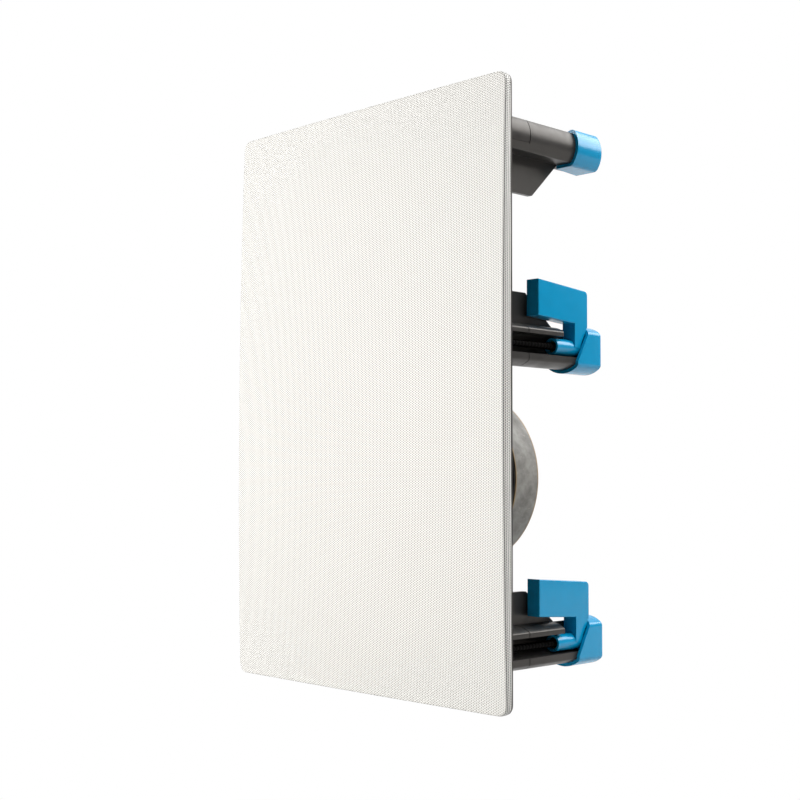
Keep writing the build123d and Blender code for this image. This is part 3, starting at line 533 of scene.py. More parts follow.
@dataclass(frozen=True)
class Ferrite(Finish):
    """Sintered ferrite: cloudy grey with an uneven skin, small pale chips and a painted tan
    highlight along the rims.
    """

    dark_colour: str = "#6c6964"
    chip_colour: str = "#d8cdb8"
    rim_highlight_colour: str = "#a98f6c"
    cloud_mm: float = 14.0
    cloud_detail: float = 6.0
    cloud_contrast: float = 0.65
    skin_mm: float = 3.5
    skin_detail: float = 4.0
    skin_depth_mm: float = 0.12
    chip_mm: float = 1.3
    chip_detail: float = 2.0
    chip_start: float = 0.73
    chip_full: float = 0.76
    rim_highlight_mm: float = 0.7
    middle: tuple[float, float, float] = (0.0, 0.0, 0.0)
    radius: float = 0.05
    half_depth: float = 0.01

    def rim_highlight_mask(
        self,
        tree: bpy.types.NodeTree,
        place: bpy.types.NodeSocket,
        ragged: bpy.types.NodeSocket,
    ) -> bpy.types.NodeSocket:
        """Adds one on a ragged line along the ring's outer rims, where a tan highlight is painted,
        and nought elsewhere.

        Args:
            tree: the material's node tree.
            place: place on the piece.
            ragged: noise that makes the line uneven.

        Returns:
            The answer.
        """
        centred = add_node(
            tree, "ShaderNodeVectorMath", {0: place, 1: self.middle}, operation="SUBTRACT"
        ).outputs[0]
        depth = add_node(tree, "ShaderNodeSeparateXYZ", {0: centred}).outputs["Y"]
        level = add_node(
            tree, "ShaderNodeVectorMath", {0: centred, 1: (1.0, 0.0, 1.0)}, operation="MULTIPLY"
        )
        reach = add_node(tree, "ShaderNodeVectorMath", {0: level.outputs[0]}, operation="LENGTH")
        off_middle = add_node(tree, "ShaderNodeMath", {0: depth}, operation="ABSOLUTE")
        gaps = []
        for size, way in (
            (self.radius, reach.outputs["Value"]),
            (self.half_depth, off_middle.outputs[0]),
        ):
            gap = add_node(tree, "ShaderNodeMath", {0: size, 1: way}, operation="SUBTRACT")
            gaps.append(gap.outputs[0])
        off_rim = add_node(tree, "ShaderNodeMath", dict(enumerate(gaps)), operation="MAXIMUM")
        width = add_node(
            tree, "ShaderNodeMath", {0: ragged, 1: 2 * self.rim_highlight_mm * MM}, operation="MULTIPLY"
        )
        highlit = add_node(
            tree,
            "ShaderNodeMath",
            {0: off_rim.outputs[0], 1: width.outputs[0]},
            operation="LESS_THAN",
        )
        return highlit.outputs[0]

    def pattern(self, tree: bpy.types.NodeTree, shader: bpy.types.Node) -> None:
        """Adds clouds, chips, a painted highlight along the rims and an uneven skin.

        Args:
            tree: the material's node tree.
            shader: the material's surface shader.
        """
        place = add_node(tree, "ShaderNodeTexCoord").outputs["Object"]
        cloud = add_node(
            tree,
            "ShaderNodeTexNoise",
            {
                "Vector": place,
                "Scale": per_mm(self.cloud_mm),
                "Detail": self.cloud_detail,
                "Roughness": self.cloud_contrast,
            },
        )
        spread = add_node(
            tree,
            "ShaderNodeMapRange",
            {"Value": cloud.outputs[0], "From Min": NOISE_LOW, "From Max": NOISE_HIGH},
        )
        chips = add_node(
            tree,
            "ShaderNodeTexNoise",
            {"Vector": place, "Scale": per_mm(self.chip_mm), "Detail": self.chip_detail},
        )
        chip = add_node(
            tree,
            "ShaderNodeMapRange",
            {"Value": chips.outputs[0], "From Min": self.chip_start, "From Max": self.chip_full},
        )
        tone = linear(self.dark_colour)
        for share, colour in (
            (spread.outputs[0], self.colour),
            (chip.outputs[0], self.chip_colour),
            # Painted highlight: a ragged tan line along the outer rims
            (self.rim_highlight_mask(tree, place, cloud.outputs[0]), self.rim_highlight_colour),
        ):
            layer = {MIX_SHARE: share, MIX_FIRST: tone, MIX_SECOND: linear(colour)}
            mixed = add_node(tree, "ShaderNodeMix", layer, data_type="RGBA")
            tone = mixed.outputs[MIX_RESULT]
        tree.links.new(tone, shader.inputs["Base Color"])
        skin = add_node(
            tree,
            "ShaderNodeTexNoise",
            {"Vector": place, "Scale": per_mm(self.skin_mm), "Detail": self.skin_detail},
        )
        relief = add_node(
            tree,
            "ShaderNodeBump",
            {"Height": skin.outputs[0], "Strength": 1.0, "Distance": self.skin_depth_mm * MM},
        )
        tree.links.new(relief.outputs[0], shader.inputs["Normal"])


@dataclass(frozen=True)
class WovenCloth(Finish):
    """Plain weave seen along Y, drawn a little coarser than the real threads so that it shows."""

    thread_mm: float = 0.9
    thread_depth_mm: float = 0.12
    gap_shade_colour: str = "#2a2013"

    def pattern(self, tree: bpy.types.NodeTree, shader: bpy.types.Node) -> None:
        """Adds crossing threads with darker gaps.

        Args:
            Adds crossing threads, with painted shade in the low gaps between them.
            shader: the material's surface shader.
        """
        place = add_node(tree, "ShaderNodeTexCoord").outputs["Object"]
        parts = add_node(tree, "ShaderNodeSeparateXYZ", {0: place})
        waves = []
        for axis in ("X", "Z"):
            turn = add_node(
                tree,
                "ShaderNodeMath",
                {0: parts.outputs[axis], 1: math.tau * per_mm(self.thread_mm)},
                operation="MULTIPLY",
            )
            wave = add_node(tree, "ShaderNodeMath", {0: turn.outputs[0]}, operation="SINE")
            waves.append(wave.outputs[0])
        weave = add_node(tree, "ShaderNodeMath", {0: waves[0], 1: waves[1]}, operation="MULTIPLY")
        height = add_node(
            tree,
            "ShaderNodeMapRange",
            {"Value": weave.outputs[0], "From Min": -1.0, "From Max": 1.0},
        )
        # Painted shade: the colour darkens with the weave's depth, towards the gaps
        tone = add_node(
            tree,
            "ShaderNodeMix",
            {
                MIX_SHARE: height.outputs[0],
                MIX_FIRST: linear(self.gap_shade_colour),
                MIX_SECOND: linear(self.colour),
            },
            data_type="RGBA",
        )
        tree.links.new(tone.outputs[MIX_RESULT], shader.inputs["Base Color"])
        relief = add_node(
            tree,
            "ShaderNodeBump",
            {"Height": height.outputs[0], "Strength": 1.0, "Distance": self.thread_depth_mm * MM},
        )
        tree.links.new(relief.outputs[0], shader.inputs["Normal"])


# Geometry node trees
def new_tree(name: str, sizes: dict[str, str]) -> tuple[bpy.types.NodeTree, bpy.types.Node]:
    """Starts a geometry tree with named inputs.

    Args:
        name: name of the tree.
        sizes: input names, each with its socket type.

    Returns:
        The tree and its input node.
    """
    tree = bpy.data.node_groups.new(name, "GeometryNodeTree")
    tree.interface.new_socket("Geometry", in_out="INPUT", socket_type="NodeSocketGeometry")
    for label, kind in sizes.items():
        tree.interface.new_socket(label, in_out="INPUT", socket_type=kind)
    tree.interface.new_socket("Geometry", in_out="OUTPUT", socket_type="NodeSocketGeometry")
    return tree, add_node(tree, "NodeGroupInput")


def end_tree(
    tree: bpy.types.NodeTree, entry: bpy.types.Node, geometry: bpy.types.NodeSocket
) -> None:
    """Ends a geometry tree in real geometry with its material.

    Args:
        tree: tree to end.
        entry: the tree's input node, with a Material input.
        geometry: what the tree has made.
    """
    real = add_node(tree, "GeometryNodeRealizeInstances", {0: geometry})
    coated = add_node(
        tree,
        "GeometryNodeSetMaterial",
        {"Geometry": real.outputs[0], "Material": entry.outputs["Material"]},
    )
    add_node(tree, "NodeGroupOutput", {0: coated.outputs[0]})


def work_out(
    tree: bpy.types.NodeTree,
    known: dict[str, bpy.types.NodeSocket],
    sums: tuple[tuple[str, str, str, str | float], ...],
) -> None:
    """Works out a tree's further sizes from those that are known.

    Args:
        tree: tree that gets the sums.
        known: sizes by name, which gains the results.
        sums: name of the result, operation, first size, and second size or number.
    """
    for label, operation, first, second in sums:
        terms = {0: known[first], 1: known.get(second, second)}
        known[label] = add_node(tree, "ShaderNodeMath", terms, operation=operation).outputs[0]


def screw_head(
    tree: bpy.types.NodeTree, known: dict[str, bpy.types.NodeSocket]
) -> bpy.types.NodeSocket:
    """Adds a screw's domed head with its cross recess.

    Args:
        tree: the screw's tree.
        known: the screw's sizes by name.

    Returns:
        The head.
    """
    barrel = add_node(
        tree,
        "GeometryNodeMeshCylinder",
        {"Vertices": HEAD_SIDES, "Radius": known["Head Radius"], "Depth": known["Head Height"]},
    )
    crown = add_node(
        tree,
        "GeometryNodeMeshUVSphere",
        {"Segments": HEAD_SIDES, "Rings": CROWN_RINGS, "Radius": known["crown radius"]},
    )
    head = add_node(tree, "GeometryNodeMeshBoolean", operation="INTERSECT", solver="EXACT")
    for shape, height in ((barrel, "head middle"), (crown, "crown drop")):
        place = add_node(tree, "ShaderNodeCombineXYZ", {"Z": known[height]})
        moved = add_node(
            tree,
            "GeometryNodeTransform",
            {"Geometry": shape.outputs[0], "Translation": place.outputs[0]},
        )
        tree.links.new(moved.outputs[0], head.inputs[1])
    face = add_node(tree, "ShaderNodeCombineXYZ", {"Z": known["head face"]})
    cut = add_node(
        tree,
        "GeometryNodeMeshBoolean",
        {0: head.outputs[0]},
        operation="DIFFERENCE",
        solver="EXACT",
    )
    for long_axis in (0, 1):
        sides = [known["slot width"], known["slot width"], known["slot height"]]
        sides[long_axis] = known["Recess"]
        size = add_node(tree, "ShaderNodeCombineXYZ", dict(enumerate(sides)))
        bar = add_node(tree, "GeometryNodeMeshCube", {"Size": size.outputs[0]})
        moved = add_node(
            tree,
            "GeometryNodeTransform",
            {"Geometry": bar.outputs[0], "Translation": face.outputs[0]},
        )
        tree.links.new(moved.outputs[0], cut.inputs[1])
    return cut.outputs[0]


def screw_shank(
    tree: bpy.types.NodeTree, known: dict[str, bpy.types.NodeSocket]
) -> tuple[bpy.types.NodeSocket, bpy.types.NodeSocket]:
    """Adds a screw's shank.

    Args:
        tree: the screw's tree.
        known: the screw's sizes by name.

    Returns:
        The core and the thread's ridge.
    """
    core = add_node(
        tree,
        "GeometryNodeMeshCylinder",
        {"Vertices": CORE_SIDES, "Radius": known["core radius"], "Depth": known["Length"]},
    )
    middle = add_node(tree, "ShaderNodeCombineXYZ", {"Z": known["shank middle"]})
    placed = add_node(
        tree,
        "GeometryNodeTransform",
        {"Geometry": core.outputs[0], "Translation": middle.outputs[0]},
    )
    helix = add_node(
        tree,
        "GeometryNodeCurveSpiral",
        {
            "Resolution": THREAD_STEPS,
            "Rotations": known["turns"],
            "Start Radius": known["core radius"],
            "End Radius": known["core radius"],
            "Height": known["Length"],
        },
    )
    ridge = add_node(
        tree,
        "GeometryNodeCurvePrimitiveCircle",
        {"Resolution": RIDGE_SIDES, "Radius": known["thread ridge"]},
    )
    thread = add_node(
        tree,
        "GeometryNodeCurveToMesh",
        {"Curve": helix.outputs[0], "Profile Curve": ridge.outputs[0], "Fill Caps": True},
    )
    return placed.outputs[0], thread.outputs[0]


def screw_tree() -> bpy.types.NodeTree:
    """Crosshead screw with a real thread, set on every point of the input.

    Returns:
        The tree. The head lies at negative Z before the drive turn.
    """
    lengths = ("Head Radius", "Head Height", "Shank Radius", "Length", "Pitch", "Recess")
    sizes = {label: "NodeSocketFloat" for label in lengths}
    sizes["Drive Turn"] = "NodeSocketVector"
    sizes["Material"] = "NodeSocketMaterial"
    tree, entry = new_tree("crosshead_screw", sizes)
    known = {label: entry.outputs[label] for label in lengths}
    sums = (
        ("crown radius", "MULTIPLY", "Head Radius", CROWN_PER_HEAD_RADIUS),
        ("crown drop", "SUBTRACT", "crown radius", "Head Height"),
        ("head middle", "MULTIPLY", "Head Height", -0.5),
        ("head face", "MULTIPLY", "Head Height", -1.0),
        ("slot width", "MULTIPLY", "Recess", SLOT_WIDTH_PER_RECESS),
        ("slot height", "MULTIPLY", "Recess", SLOT_HEIGHT_PER_RECESS),
        ("thread root", "MULTIPLY", "Pitch", ROOT_PER_PITCH),
        ("thread ridge", "MULTIPLY", "Pitch", RIDGE_PER_PITCH),
        ("core radius", "SUBTRACT", "Shank Radius", "thread root"),
        ("shank middle", "MULTIPLY", "Length", 0.5),
        ("turns", "DIVIDE", "Length", "Pitch"),
    )
    work_out(tree, known, sums)
    screw = add_node(tree, "GeometryNodeJoinGeometry")
    for part in (screw_head(tree, known), *screw_shank(tree, known)):
        tree.links.new(part, screw.inputs[0])
    turn = add_node(tree, "FunctionNodeEulerToRotation", {0: entry.outputs["Drive Turn"]})
    placed = add_node(
        tree,
        "GeometryNodeInstanceOnPoints",
        {
            "Points": entry.outputs["Geometry"],
            "Instance": screw.outputs[0],
            "Rotation": turn.outputs[0],
        },
    )
    end_tree(tree, entry, placed.outputs[0])
    return tree


def coil_tree() -> bpy.types.NodeTree:
    """Air-cored coil of round wire, set on every point of the input with its axis along Y.

    Returns:
        The tree.
    """
    lengths = ("Outer Radius", "Inner Radius", "Height", "Wire")
    sizes = {label: "NodeSocketFloat" for label in lengths}
    sizes["Material"] = "NodeSocketMaterial"
    tree, entry = new_tree("wound_coil", sizes)
    known = {label: entry.outputs[label] for label in lengths}
    sums = (
        ("wire radius", "MULTIPLY", "Wire", WIRE_RADIUS_PER_SPACING),
        ("base", "MULTIPLY", "Wire", 0.5),
        ("outer", "SUBTRACT", "Outer Radius", "base"),
        ("inner", "ADD", "Inner Radius", "base"),
        ("rise", "SUBTRACT", "Height", "Wire"),
        ("top", "ADD", "rise", "base"),
        ("layers", "DIVIDE", "rise", "Wire"),
        ("build", "SUBTRACT", "outer", "inner"),
        ("rows", "DIVIDE", "build", "Wire"),
        ("none", "MULTIPLY", "Wire", 0.0),
    )
    work_out(tree, known, sums)
    joined = add_node(tree, "GeometryNodeJoinGeometry")
    section = add_node(
        tree,
        "GeometryNodeCurvePrimitiveCircle",
        {"Resolution": WIRE_SIDES, "Radius": known["wire radius"]},
    )
    for turns, start, end, height, lift in (
        ("layers", "outer", "outer", "rise", "base"),
        ("layers", "inner", "inner", "rise", "base"),
        ("rows", "inner", "outer", "none", "base"),
        ("rows", "inner", "outer", "none", "top"),
    ):
        spiral = add_node(
            tree,
            "GeometryNodeCurveSpiral",
            {
                "Resolution": COIL_STEPS,
                "Rotations": known[turns],
                "Start Radius": known[start],
                "End Radius": known[end],
                "Height": known[height],
            },
        )
        lifted = add_node(tree, "ShaderNodeCombineXYZ", {"Z": known[lift]})
        moved = add_node(
            tree,
            "GeometryNodeTransform",
            {"Geometry": spiral.outputs[0], "Translation": lifted.outputs[0]},
        )
        wire = add_node(
            tree,
            "GeometryNodeCurveToMesh",
            {"Curve": moved.outputs[0], "Profile Curve": section.outputs[0], "Fill Caps": True},
        )
        tree.links.new(wire.outputs[0], joined.inputs[0])
    turn = add_node(tree, "FunctionNodeEulerToRotation", {0: (-math.pi / 2, 0.0, 0.0)})
    placed = add_node(
        tree,
        "GeometryNodeInstanceOnPoints",
        {
            "Points": entry.outputs["Geometry"],
            "Instance": joined.outputs[0],
            "Rotation": turn.outputs[0],
        },
    )
    end_tree(tree, entry, placed.outputs[0])
    return tree


def smoothing_tree() -> bpy.types.NodeTree:
    """Joins a solid's loose triangles and smooths all but its real edges.

    Returns:
        The tree.
    """
    tree, entry = new_tree("smooth_round_faces", {})
    welded = add_node(
        tree,
        "GeometryNodeMergeByDistance",
        {"Geometry": entry.outputs["Geometry"], "Distance": WELD_DISTANCE},
    )
    smooth = add_node(
        tree, "GeometryNodeSetShadeSmooth", {"Geometry": welded.outputs[0]}, domain="FACE"
    )
    angle = add_node(tree, "GeometryNodeInputMeshEdgeAngle")
    sharp = add_node(
        tree, "ShaderNodeMath", {0: angle.outputs[0], 1: SMOOTH_ANGLE}, operation="GREATER_THAN"
    )
    edged = add_node(
        tree,
        "GeometryNodeSetShadeSmooth",
        {"Geometry": smooth.outputs[0], "Selection": sharp.outputs[0], "Shade Smooth": False},
        domain="EDGE",
    )
    add_node(tree, "NodeGroupOutput", {0: edged.outputs[0]})
    return tree


def grow(
    name: str, tree: bpy.types.NodeTree, places: list[Vector], values: dict[str, Any]
) -> bpy.types.Object:
    """Runs a geometry tree on points and keeps the result as a plain mesh.

    Args:
        name: name of the new piece.
        tree: geometry tree with named inputs.
        places: points that the tree works on.
        values: input names with their values.

    Returns:
        The new piece, at the origin.
    """
    seed = bpy.data.meshes.new(name)
    seed.from_pydata([tuple(p) for p in places], [], [])
    piece = add_object(name, seed)
    modifier = piece.modifiers.new("grow", "NODES")
    modifier.node_group = tree
    for socket in tree.interface.items_tree:
        if socket.in_out == "INPUT" and socket.name in values:
            modifier[socket.identifier] = values[socket.name]
    shape = piece.evaluated_get(bpy.context.evaluated_depsgraph_get())
    mesh = bpy.data.meshes.new_from_object(shape)
    piece.modifiers.remove(modifier)
    piece.data = mesh
    return piece


def box_middle(node: str) -> Vector:
    """Middle of a CAD node's box."""
    low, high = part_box(node)
    return (low + high) / 2


# Shared state of one dressing
@dataclass
class Wardrobe:
    """The CAD nodes, finishes and trees that the sub-assemblies share."""

    nodes: dict[str, bpy.types.Object]
    materials: dict[str, bpy.types.Material] = field(default_factory=dict)
    smoothing: bpy.types.NodeTree = field(default_factory=smoothing_tree)
    screws: bpy.types.NodeTree = field(default_factory=screw_tree)
    coils: bpy.types.NodeTree = field(default_factory=coil_tree)

    def material(self, finish: Finish) -> bpy.types.Material:
        """Material of a finish, made once."""
        if finish.name not in self.materials:
            self.materials[finish.name] = finish.material()
        return self.materials[finish.name]

    def dress(self, node: str, finish: Finish) -> None:
        """Gives a CAD node its finish and smooth round faces.

        Args:
            node: name of the CAD node.
            finish: finish that it gets.
        """
        solid = self.nodes[node]
        solid.data.materials.clear()
        solid.data.materials.append(self.material(finish))
        modifier = solid.modifiers.new("smooth", "NODES")
        modifier.node_group = self.smoothing
        LOG.info("dressed %s in %s", node, finish.name)

    def fit(self, piece: bpy.types.Object, body: str, slot: str, *replaced: str) -> None:
        """Fixes a new piece to a body and hides the CAD nodes that it replaces.

        Args:
            piece: the new piece.
            body: CAD body that carries it.
            slot: not used.
            *replaced: CAD nodes that it replaces.
        """
        if replaced:
            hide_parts(*replaced)
        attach(piece, body)
        LOG.info("made %s with %d faces", piece.name, len(piece.data.polygons))


# Glass-filled black ABS from a spark-eroded tool: dull sheen, faint flow marks
BLACK_ABS = Mottled(
    "black_abs_moulded",
    "#373635",
    0.35,
    gloss_tint="#fff4e8",
    second_colour="#2a2929",
    cloud_mm=18.0,
    gloss_mm=6.0,
    grain_mm=0.7,
    grain_depth_mm=0.012,
)
# Blue ABS from a polished tool: clear reflections, slight waviness
BLUE_ABS = Mottled(
    "blue_abs_polished",
    "#00a3d9",
    0.20,
    second_colour="#0099cb",
    cloud_mm=15.0,
    gloss_mm=5.0,
    gloss_spread=0.04,
    grain_mm=3.0,
    grain_depth_mm=0.01,
)
# Off-white polyester powder coat on perforated steel: soft sheen and orange peel
WHITE_GRILLE = PerforatedCoat("off_white_powder_coat", "#f8f6f1", 0.45)
# Black electro-coat on pressed steel: even, slightly glossy
BLACK_STEEL = Mottled(
    "black_coated_steel",
    "#232323",
    0.34,
    second_colour="#1a1a1a",
    grain_mm=0.5,
    grain_depth_mm=0.006,
)
# Zinc-plated steel: bright grey metal with a cloudy plating
ZINC_STEEL = Mottled(
    "zinc_plated_steel",
    "#c4c6c7",
    0.30,
    metallic=1.0,
    second_colour="#a9acae",
    cloud_mm=2.0,
    gloss_mm=1.5,
    grain_mm=0.3,
    grain_depth_mm=0.004,
)
# Black zinc-plated steel: dark satin metal with a brown cast
BLACK_ZINC = Mottled(
    "black_zinc_plated_steel",
    "#1c1b1a",
    0.40,
    metallic=1.0,
    second_colour="#121111",
    cloud_mm=2.0,
    gloss_mm=1.5,
    grain_mm=0.3,
    grain_depth_mm=0.004,
)
# Free-cutting brass, turned: warm metal with tool marks
TURNED_BRASS = Mottled(
    "turned_brass",
    "#c9a35a",
    0.28,
    metallic=1.0,
    second_colour="#b08a45",
    cloud_mm=2.0,
    grain_mm=0.3,
)
# Nickel-plated magnet discs: bright with light handling marks
NICKEL_PLATE = Mottled(
    "nickel_plated_magnet", "#d3d0c8", 0.22, metallic=1.0, second_colour="#bab6ac", cloud_mm=3.0
)
# Enamelled copper wire: lacquered orange metal
ENAMELLED_COPPER = Mottled(
    "enamelled_copper",
    "#b5652f",
    0.26,
    metallic=1.0,
    coat=0.6,
    second_colour="#8f4a20",
    cloud_mm=3.0,
    grain_mm=0.5,
    grain_depth_mm=0.004,
)
# Glass-epoxy board with green solder mask: thin gloss over a woven core
GREEN_BOARD = WovenCloth(
    "green_solder_mask",
    "#1f6b3d",
    0.30,
    thread_mm=1.1,
    thread_depth_mm=0.01,
    gap_shade_colour="#175531",
)
# Shrink sleeve on a film capacitor: smooth amber film
AMBER_SLEEVE = Mottled(
    "amber_film_sleeve", "#a8581f", 0.24, coat=0.5, second_colour="#8e4717", cloud_mm=6.0
)
# Steatite resistor body: chalky off-white ceramic
WHITE_CERAMIC = Mottled(
    "steatite_ceramic", "#dcd8cc", 0.62, second_colour="#cbc5b6", cloud_mm=3.0, grain_mm=0.4
)
# Butyl rubber: matt black with a faint bloom
BUTYL_RUBBER = Mottled(
    "butyl_rubber", "#1b1b1c", 0.58, second_colour="#29292a", cloud_mm=9.0, grain_mm=0.5
)
# Pressed fibre gasket: dark grey board
FIBRE_BOARD = Mottled(
    "pressed_fibre_board", "#2e2c2a", 0.80, second_colour="#232120", cloud_mm=2.0, grain_mm=0.5
)
# Resin-dipped cotton: tan weave
DIPPED_COTTON = WovenCloth("resin_dipped_cotton", "#c89544", 0.70, gap_shade_colour="#7d5820")
# Coated silk dome: near-black fine weave
COATED_SILK = WovenCloth(
    "coated_silk", "#2a292b", 0.42, thread_mm=0.5, thread_depth_mm=0.02, gap_shade_colour="#1d1c1e"
)
# Red ABS from a polished tool: clear reflections
RED_ABS = Mottled("red_abs_polished", "#a91b1b", 0.26, second_colour="#931414", cloud_mm=6.0)


class Drive(Enum):
    """Way that a screw is driven, as the turn that takes its shank there."""

    INTO_WALL = (-math.pi / 2, 0.0, 0.0)
    TO_ROOM = (math.pi / 2, 0.0, 0.0)


@dataclass
class ScrewSizes:
    """Sizes of one kind of crosshead screw."""

    head_radius: float
    head_height: float
    shank_radius: float
    length: float
    pitch: float
    recess: float

    def make(
        self, name: str, finish: Finish, wardrobe: Wardrobe, places: list[Vector], drive: Drive
    ) -> bpy.types.Object:
        """Makes one such screw at every place.

        Args:
            name: name of the piece.
            finish: what they are made of.
            wardrobe: shared finishes and trees.
            places: where each head seats.
            drive: way that they are driven.

        Returns:
            The screws as one piece.
        """
        values = {
            "Head Radius": self.head_radius,
            "Head Height": self.head_height,
            "Shank Radius": self.shank_radius,
            "Length": self.length,
            "Pitch": self.pitch,
            "Recess": self.recess,
            "Drive Turn": drive.value,
            "Material": wardrobe.material(finish),
        }
        return grow(name, wardrobe.screws, places, values)


FIXING_SCREW = ScrewSizes(
    head_radius=3.0 * MM,
    head_height=1.8 * MM,
    shank_radius=1.6 * MM,
    length=9.0 * MM,
    pitch=1.2 * MM,
    recess=3.4 * MM,
)


def circle_places(centre: Vector, radius: float, count: int, depth: float) -> list[Vector]:
    """Places spaced evenly round a circle in the X and Z plane, the first half a step on.

    Args:
        centre: middle of the circle.
        radius: its radius.
        count: how many places.
        depth: Y of the places.

    Returns:
        The places.
    """
    places = []
    for i in range(count):
        angle = math.tau * (i + 0.5) / count
        x = centre.x + radius * math.cos(angle)
        z = centre.z + radius * math.sin(angle)
        places.append(Vector((x, depth, z)))
    return places


@dataclass
class SheetPoint:
    """Place on the grille, with its place on the unfolded sheet and its way past the fold."""

    place: Vector
    flat: Vector
    way: float


@dataclass
class Grille:
    """Perforated sheet grille: crowned face, rounded fold and a flange all round.

    The holes on the flange are drawn a quarter further apart than on the face, so that they show.
    """

    crown_radius: float = 5.0
    edge_depth: float = 4.8 * MM
    fold_radius: float = 0.8 * MM
    flange_stretch: float = 1.25
    corner_radius: float = 5.5 * MM
    sheet: float = 0.8 * MM
    corner_steps: int = 10
    fold_steps: int = 6
    side_step: float = 9.0 * MM
    face_insets_mm: tuple[float, ...] = (0.0, 1.0, 3.0, 8.0, 20.0, 40.0, 65.0)

    def outline(self, half_width: float, half_height: float) -> list[tuple[Vector, Vector]]:
        """Points round the grille where its fold starts, with the outward way at each.

        Args:
            half_width: half of the grille's width.
            half_height: half of its height.

        Returns:
            Pairs of a point and an outward direction, in X and Z.
        """
        radius = self.corner_radius - self.fold_radius
        across = half_width - self.corner_radius
        up = half_height - self.corner_radius
        corners = ((across, -up), (across, up), (-across, up), (-across, -up))
        points = []
        for i, (x, z) in enumerate(corners):
            start = math.pi / 2 * (i - 1)
            for k in range(self.corner_steps + 1):
                angle = start + math.pi / 2 * k / self.corner_steps
                out = Vector((math.cos(angle), math.sin(angle)))
                points.append((Vector((x, z)) + out * radius, out))
            next_x, next_z = corners[(i + 1) % len(corners)]
            run = Vector((next_x - x, next_z - z))
            steps = round(run.length / self.side_step)
            side_start, out = points[-1]
            for k in range(1, steps):
                points.append((side_start + run * (k / steps), out))
        return points

    def crown(self, x: float, z: float, corner_span: float) -> float:
        """Depth of the crowned face at a place, from half of the face's diagonal."""
        centre = math.sqrt(self.crown_radius**2 - corner_span**2) - self.edge_depth
        return centre - math.sqrt(self.crown_radius**2 - x * x - z * z)

    def rings(self, half_width: float, half_height: float, back: float) -> list[list[SheetPoint]]:
        """Rings of points from the face, over the fold and down the flange.

        Args:
            half_width: half of the grille's width.
            half_height: half of its height.
            back: depth of the flange's rear edge.

        Returns:
            The rings, the innermost first.
        """
        span = math.hypot(half_width, half_height)
        edge = self.outline(half_width, half_height)
        made = []
        for inset_mm in reversed(self.face_insets_mm):
            inset = inset_mm * MM
            ring = []
            for point, _ in edge:
                x, z = point * (1 - inset / half_width)
                place = Vector((x, self.crown(x, z, span), z))
                ring.append(SheetPoint(place, Vector((x, z)), -inset))
            made.append(ring)
        for k in range(1, self.fold_steps + 1):
            angle = math.pi / 2 * k / self.fold_steps
            way = self.fold_radius * angle
            ring = []
            for point, out in edge:
                side = point + out * (self.fold_radius * math.sin(angle))
                rim = self.crown(point.x, point.y, span)
                depth = rim + self.fold_radius * (1 - math.cos(angle))
                ring.append(SheetPoint(Vector((side.x, depth, side.y)), point + out * way, way))
            made.append(ring)
        flange = []
        for (point, out), folded in zip(edge, made[-1]):
            way = folded.way + back - folded.place.y
            place = Vector((folded.place.x, back, folded.place.z))
            flat_way = folded.way + (way - folded.way) / self.flange_stretch
            flange.append(SheetPoint(place, point + out * flat_way, way))
        return made + [flange]

    def sheet_mesh(self) -> bpy.types.Mesh:
        """Makes the outside of the sheet, with its unfolded UV map and the way past the fold.

        Returns:
            The mesh.
        """
        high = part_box("grille")[1]
        rings = self.rings(high.x, high.z, high.y)
        top = self.crown(0.0, 0.0, math.hypot(high.x, high.z))
        middle = SheetPoint(Vector((0.0, top, 0.0)), Vector((0.0, 0.0)), -high.x)
        points = [point for ring in rings for point in ring] + [middle]
        count = len(rings[0])
        mesh = bmesh.new()
        uv_layer = mesh.loops.layers.uv.new("sheet_mm")
        way_layer = mesh.verts.layers.float.new("fold_mm")
        for point in points:
            corner = mesh.verts.new(point.place)
            corner[way_layer] = point.way / MM
        mesh.verts.index_update()
        corners = list(mesh.verts)
        for i in range(count):
            j = (i + 1) % count
            mesh.faces.new((corners[-1], corners[i], corners[j]))
            for start in range(0, count * (len(rings) - 1), count):
                inner = start + i, start + j
                outer = inner[0] + count, inner[1] + count
                mesh.faces.new([corners[k] for k in (inner[0], outer[0], outer[1], inner[1])])
        for face in mesh.faces:
            face.smooth = True
            for loop in face.loops:
                loop[uv_layer].uv = points[loop.vert.index].flat / MM
        bmesh.ops.recalc_face_normals(mesh, faces=mesh.faces)
        if corners[-1].link_faces[0].normal.y > 0:
            bmesh.ops.reverse_faces(mesh, faces=mesh.faces)
        data = bpy.data.meshes.new("grille_sheet")
        mesh.to_mesh(data)
        mesh.free()
        return data

    def build(self, wardrobe: Wardrobe) -> bpy.types.Object:
        """Builds the sheet and gives it its thickness.

        Args:
            wardrobe: shared finishes and trees.

        Returns:
            The grille.
        """
        data = self.sheet_mesh()
        data.materials.append(wardrobe.material(WHITE_GRILLE))
        piece = add_object("grille_sheet", data)
        wall = piece.modifiers.new("sheet", "SOLIDIFY")
        wall.thickness = self.sheet
        wall.offset = -1.0
        wall.use_even_offset = True
        wardrobe.fit(piece, "grille", "grille_coat", "grille")
        return piece


